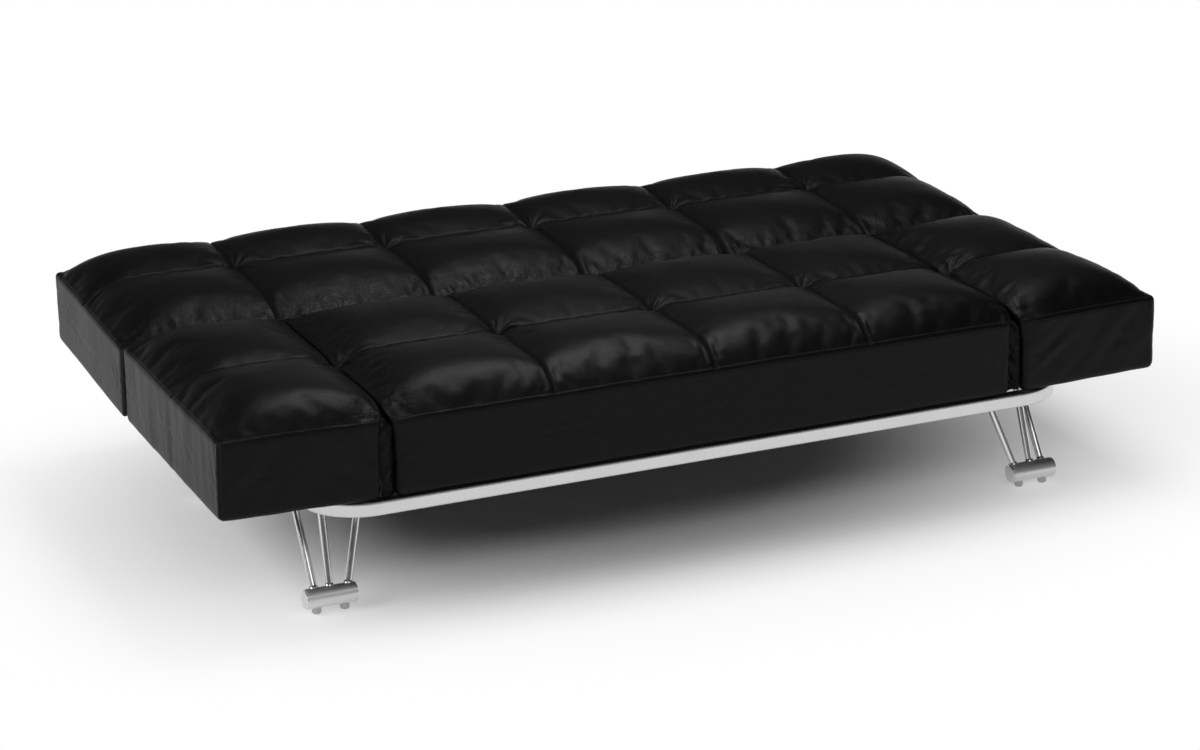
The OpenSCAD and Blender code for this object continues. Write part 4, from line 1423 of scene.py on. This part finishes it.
@dataclass
class Studio:
    """A pale floor, soft lights and the camera."""

    camera_at: tuple[float, float, float] = (-2.2124, -5.0351, 2.0525)
    yaw: float = math.radians(23.78)
    pitch: float = math.radians(-18.76)
    roll: float = math.radians(-0.80)
    lens: float = 93.0
    floor_size: float = 24.0

    def build(self) -> None:
        """Makes the camera, the floor, the lights and the world."""
        self.camera()
        self.floor()
        self.lights()
        self.world()
        bpy.context.scene.view_settings.view_transform = "Standard"

    def camera(self) -> None:
        """Stands the camera in front of the left end, looking down at the bed."""
        data = bpy.data.cameras.new("camera")
        data.lens = self.lens
        data.sensor_width = 36.0
        data.clip_end = 100.0
        seen = bpy.data.objects.new("camera", data)
        bpy.context.scene.collection.objects.link(seen)
        flat = math.cos(self.pitch)
        forward = Vector((math.sin(self.yaw) * flat, math.cos(self.yaw) * flat, math.sin(self.pitch)))
        right = Vector((math.cos(self.yaw), -math.sin(self.yaw), 0.0))
        up = right.cross(forward)
        level, lean = math.cos(self.roll), math.sin(self.roll)
        axes = Matrix((right * level + up * lean, up * level - right * lean, -forward)).transposed()
        seen.matrix_world = Matrix.Translation(self.camera_at) @ axes.to_4x4()
        bpy.context.scene.camera = seen

    def floor(self) -> None:
        """Lays the floor: white to the eye and in reflections alike, a little darker as a bounce."""
        bpy.ops.object.select_all(action="DESELECT")
        bpy.ops.mesh.primitive_plane_add(size=self.floor_size, location=(0.0, 0.0, 0.0))
        piece = bpy.context.object
        piece.name = "studio_floor"
        made = bpy.data.materials.new("studio floor")
        made.use_nodes = True
        made.node_tree.nodes.clear()
        graph = Graph(made.node_tree)
        path = graph.node("LightPath").outputs
        seen = graph.math("MAXIMUM", path["Is Camera Ray"], path["Is Glossy Ray"])
        seen = graph.math("MAXIMUM", seen, path["Is Transmission Ray"])
        tone = graph.mix(seen, colour(0.80, 0.80, 0.80), colour(1.0, 1.0, 1.0))
        place = graph.object_place()
        shader = graph.node("BsdfDiffuse", {"Color": tone})
        white = graph.node("Emission", {"Color": colour(1.0, 1.0, 1.0)})
        round_bed = graph.stretch(place, (0.62, 1.0, 1.0))
        away = graph.node("VectorMath", {0: round_bed}, operation="LENGTH").outputs["Value"]
        share = graph.math("MULTIPLY", seen, graph.span(away, 0.26, 1.0))
        both = graph.node("MixShader", {0: share, 1: shader.outputs[0], 2: white.outputs[0]})
        end = graph.node("OutputMaterial")
        made.node_tree.links.new(both.outputs[0], end.inputs[0])
        piece.data.materials.append(made)

    def softbox(self, name: str, at: tuple, towards: tuple, size: tuple, watts: float) -> None:
        """Hangs a rectangular soft light.

        Args:
            name: Its name.
            at: Its place.
            towards: The place that it faces.
            size: Its width and height.
            watts: Its power.
        """
        data = bpy.data.lights.new(name, "AREA")
        data.shape = "RECTANGLE"
        data.size, data.size_y = size
        data.energy = watts
        lamp = bpy.data.objects.new(name, data)
        bpy.context.scene.collection.objects.link(lamp)
        lamp.location = at
        lamp.rotation_euler = (Vector(towards) - Vector(at)).to_track_quat("-Z", "Y").to_euler()

    def lights(self) -> None:
        """Hangs the overhead softbox, the left fill and the front fill."""
        self.softbox("overhead softbox", (0.40, 0.05, 2.6), (0.2, 0.0, 0.3), (1.25, 1.15), 33.0)
        self.softbox("rear overhead softbox", (0.2, 0.8, 2.8), (0.0, 0.3, 0.3), (1.6, 1.2), 5.0)
        self.softbox("left softbox", (-3.4, -0.4, 2.3), (-0.4, 0.0, 0.0), (1.8, 1.6), 76.0)
        self.softbox("front softbox", (-0.6, -4.2, 3.4), (0.0, 0.0, 0.0), (3.2, 1.4), 30.0)

    def world(self) -> None:
        """Surrounds the studio: white at the horizon and dim overhead, the same to every ray."""
        world = bpy.data.worlds.new("studio")
        bpy.context.scene.world = world
        world.use_nodes = True
        world.node_tree.nodes.clear()
        graph = Graph(world.node_tree)
        height = graph.node("SeparateXYZ", {0: graph.node("TexCoord").outputs["Generated"]}).outputs[2]
        tone = graph.mix(graph.span(height, 0.0, 0.14), colour(1.0, 1.0, 1.0), colour(0.09, 0.09, 0.09))
        back = graph.node("Background", {"Color": tone})
        end = graph.node("OutputWorld")
        world.node_tree.links.new(back.outputs[0], end.inputs[0])


def dress_packed_nodes(frame: dict[str, Any]) -> None:
    """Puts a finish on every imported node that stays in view."""
    for name, piece in frame["nodes"].items():
        chosen = finish_for(name)
        if chosen is not None:
            chosen.dress(piece)
            log.info("%s: %s", name, chosen.name)


def main() -> None:
    """Builds the sofa bed's looks in order."""
    logging.basicConfig(level=logging.INFO, format="%(message)s")
    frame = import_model()
    dress_packed_nodes(frame)
    Upholstery(frame).build()
    Studio().build()


if __name__ == "__main__":
    main()
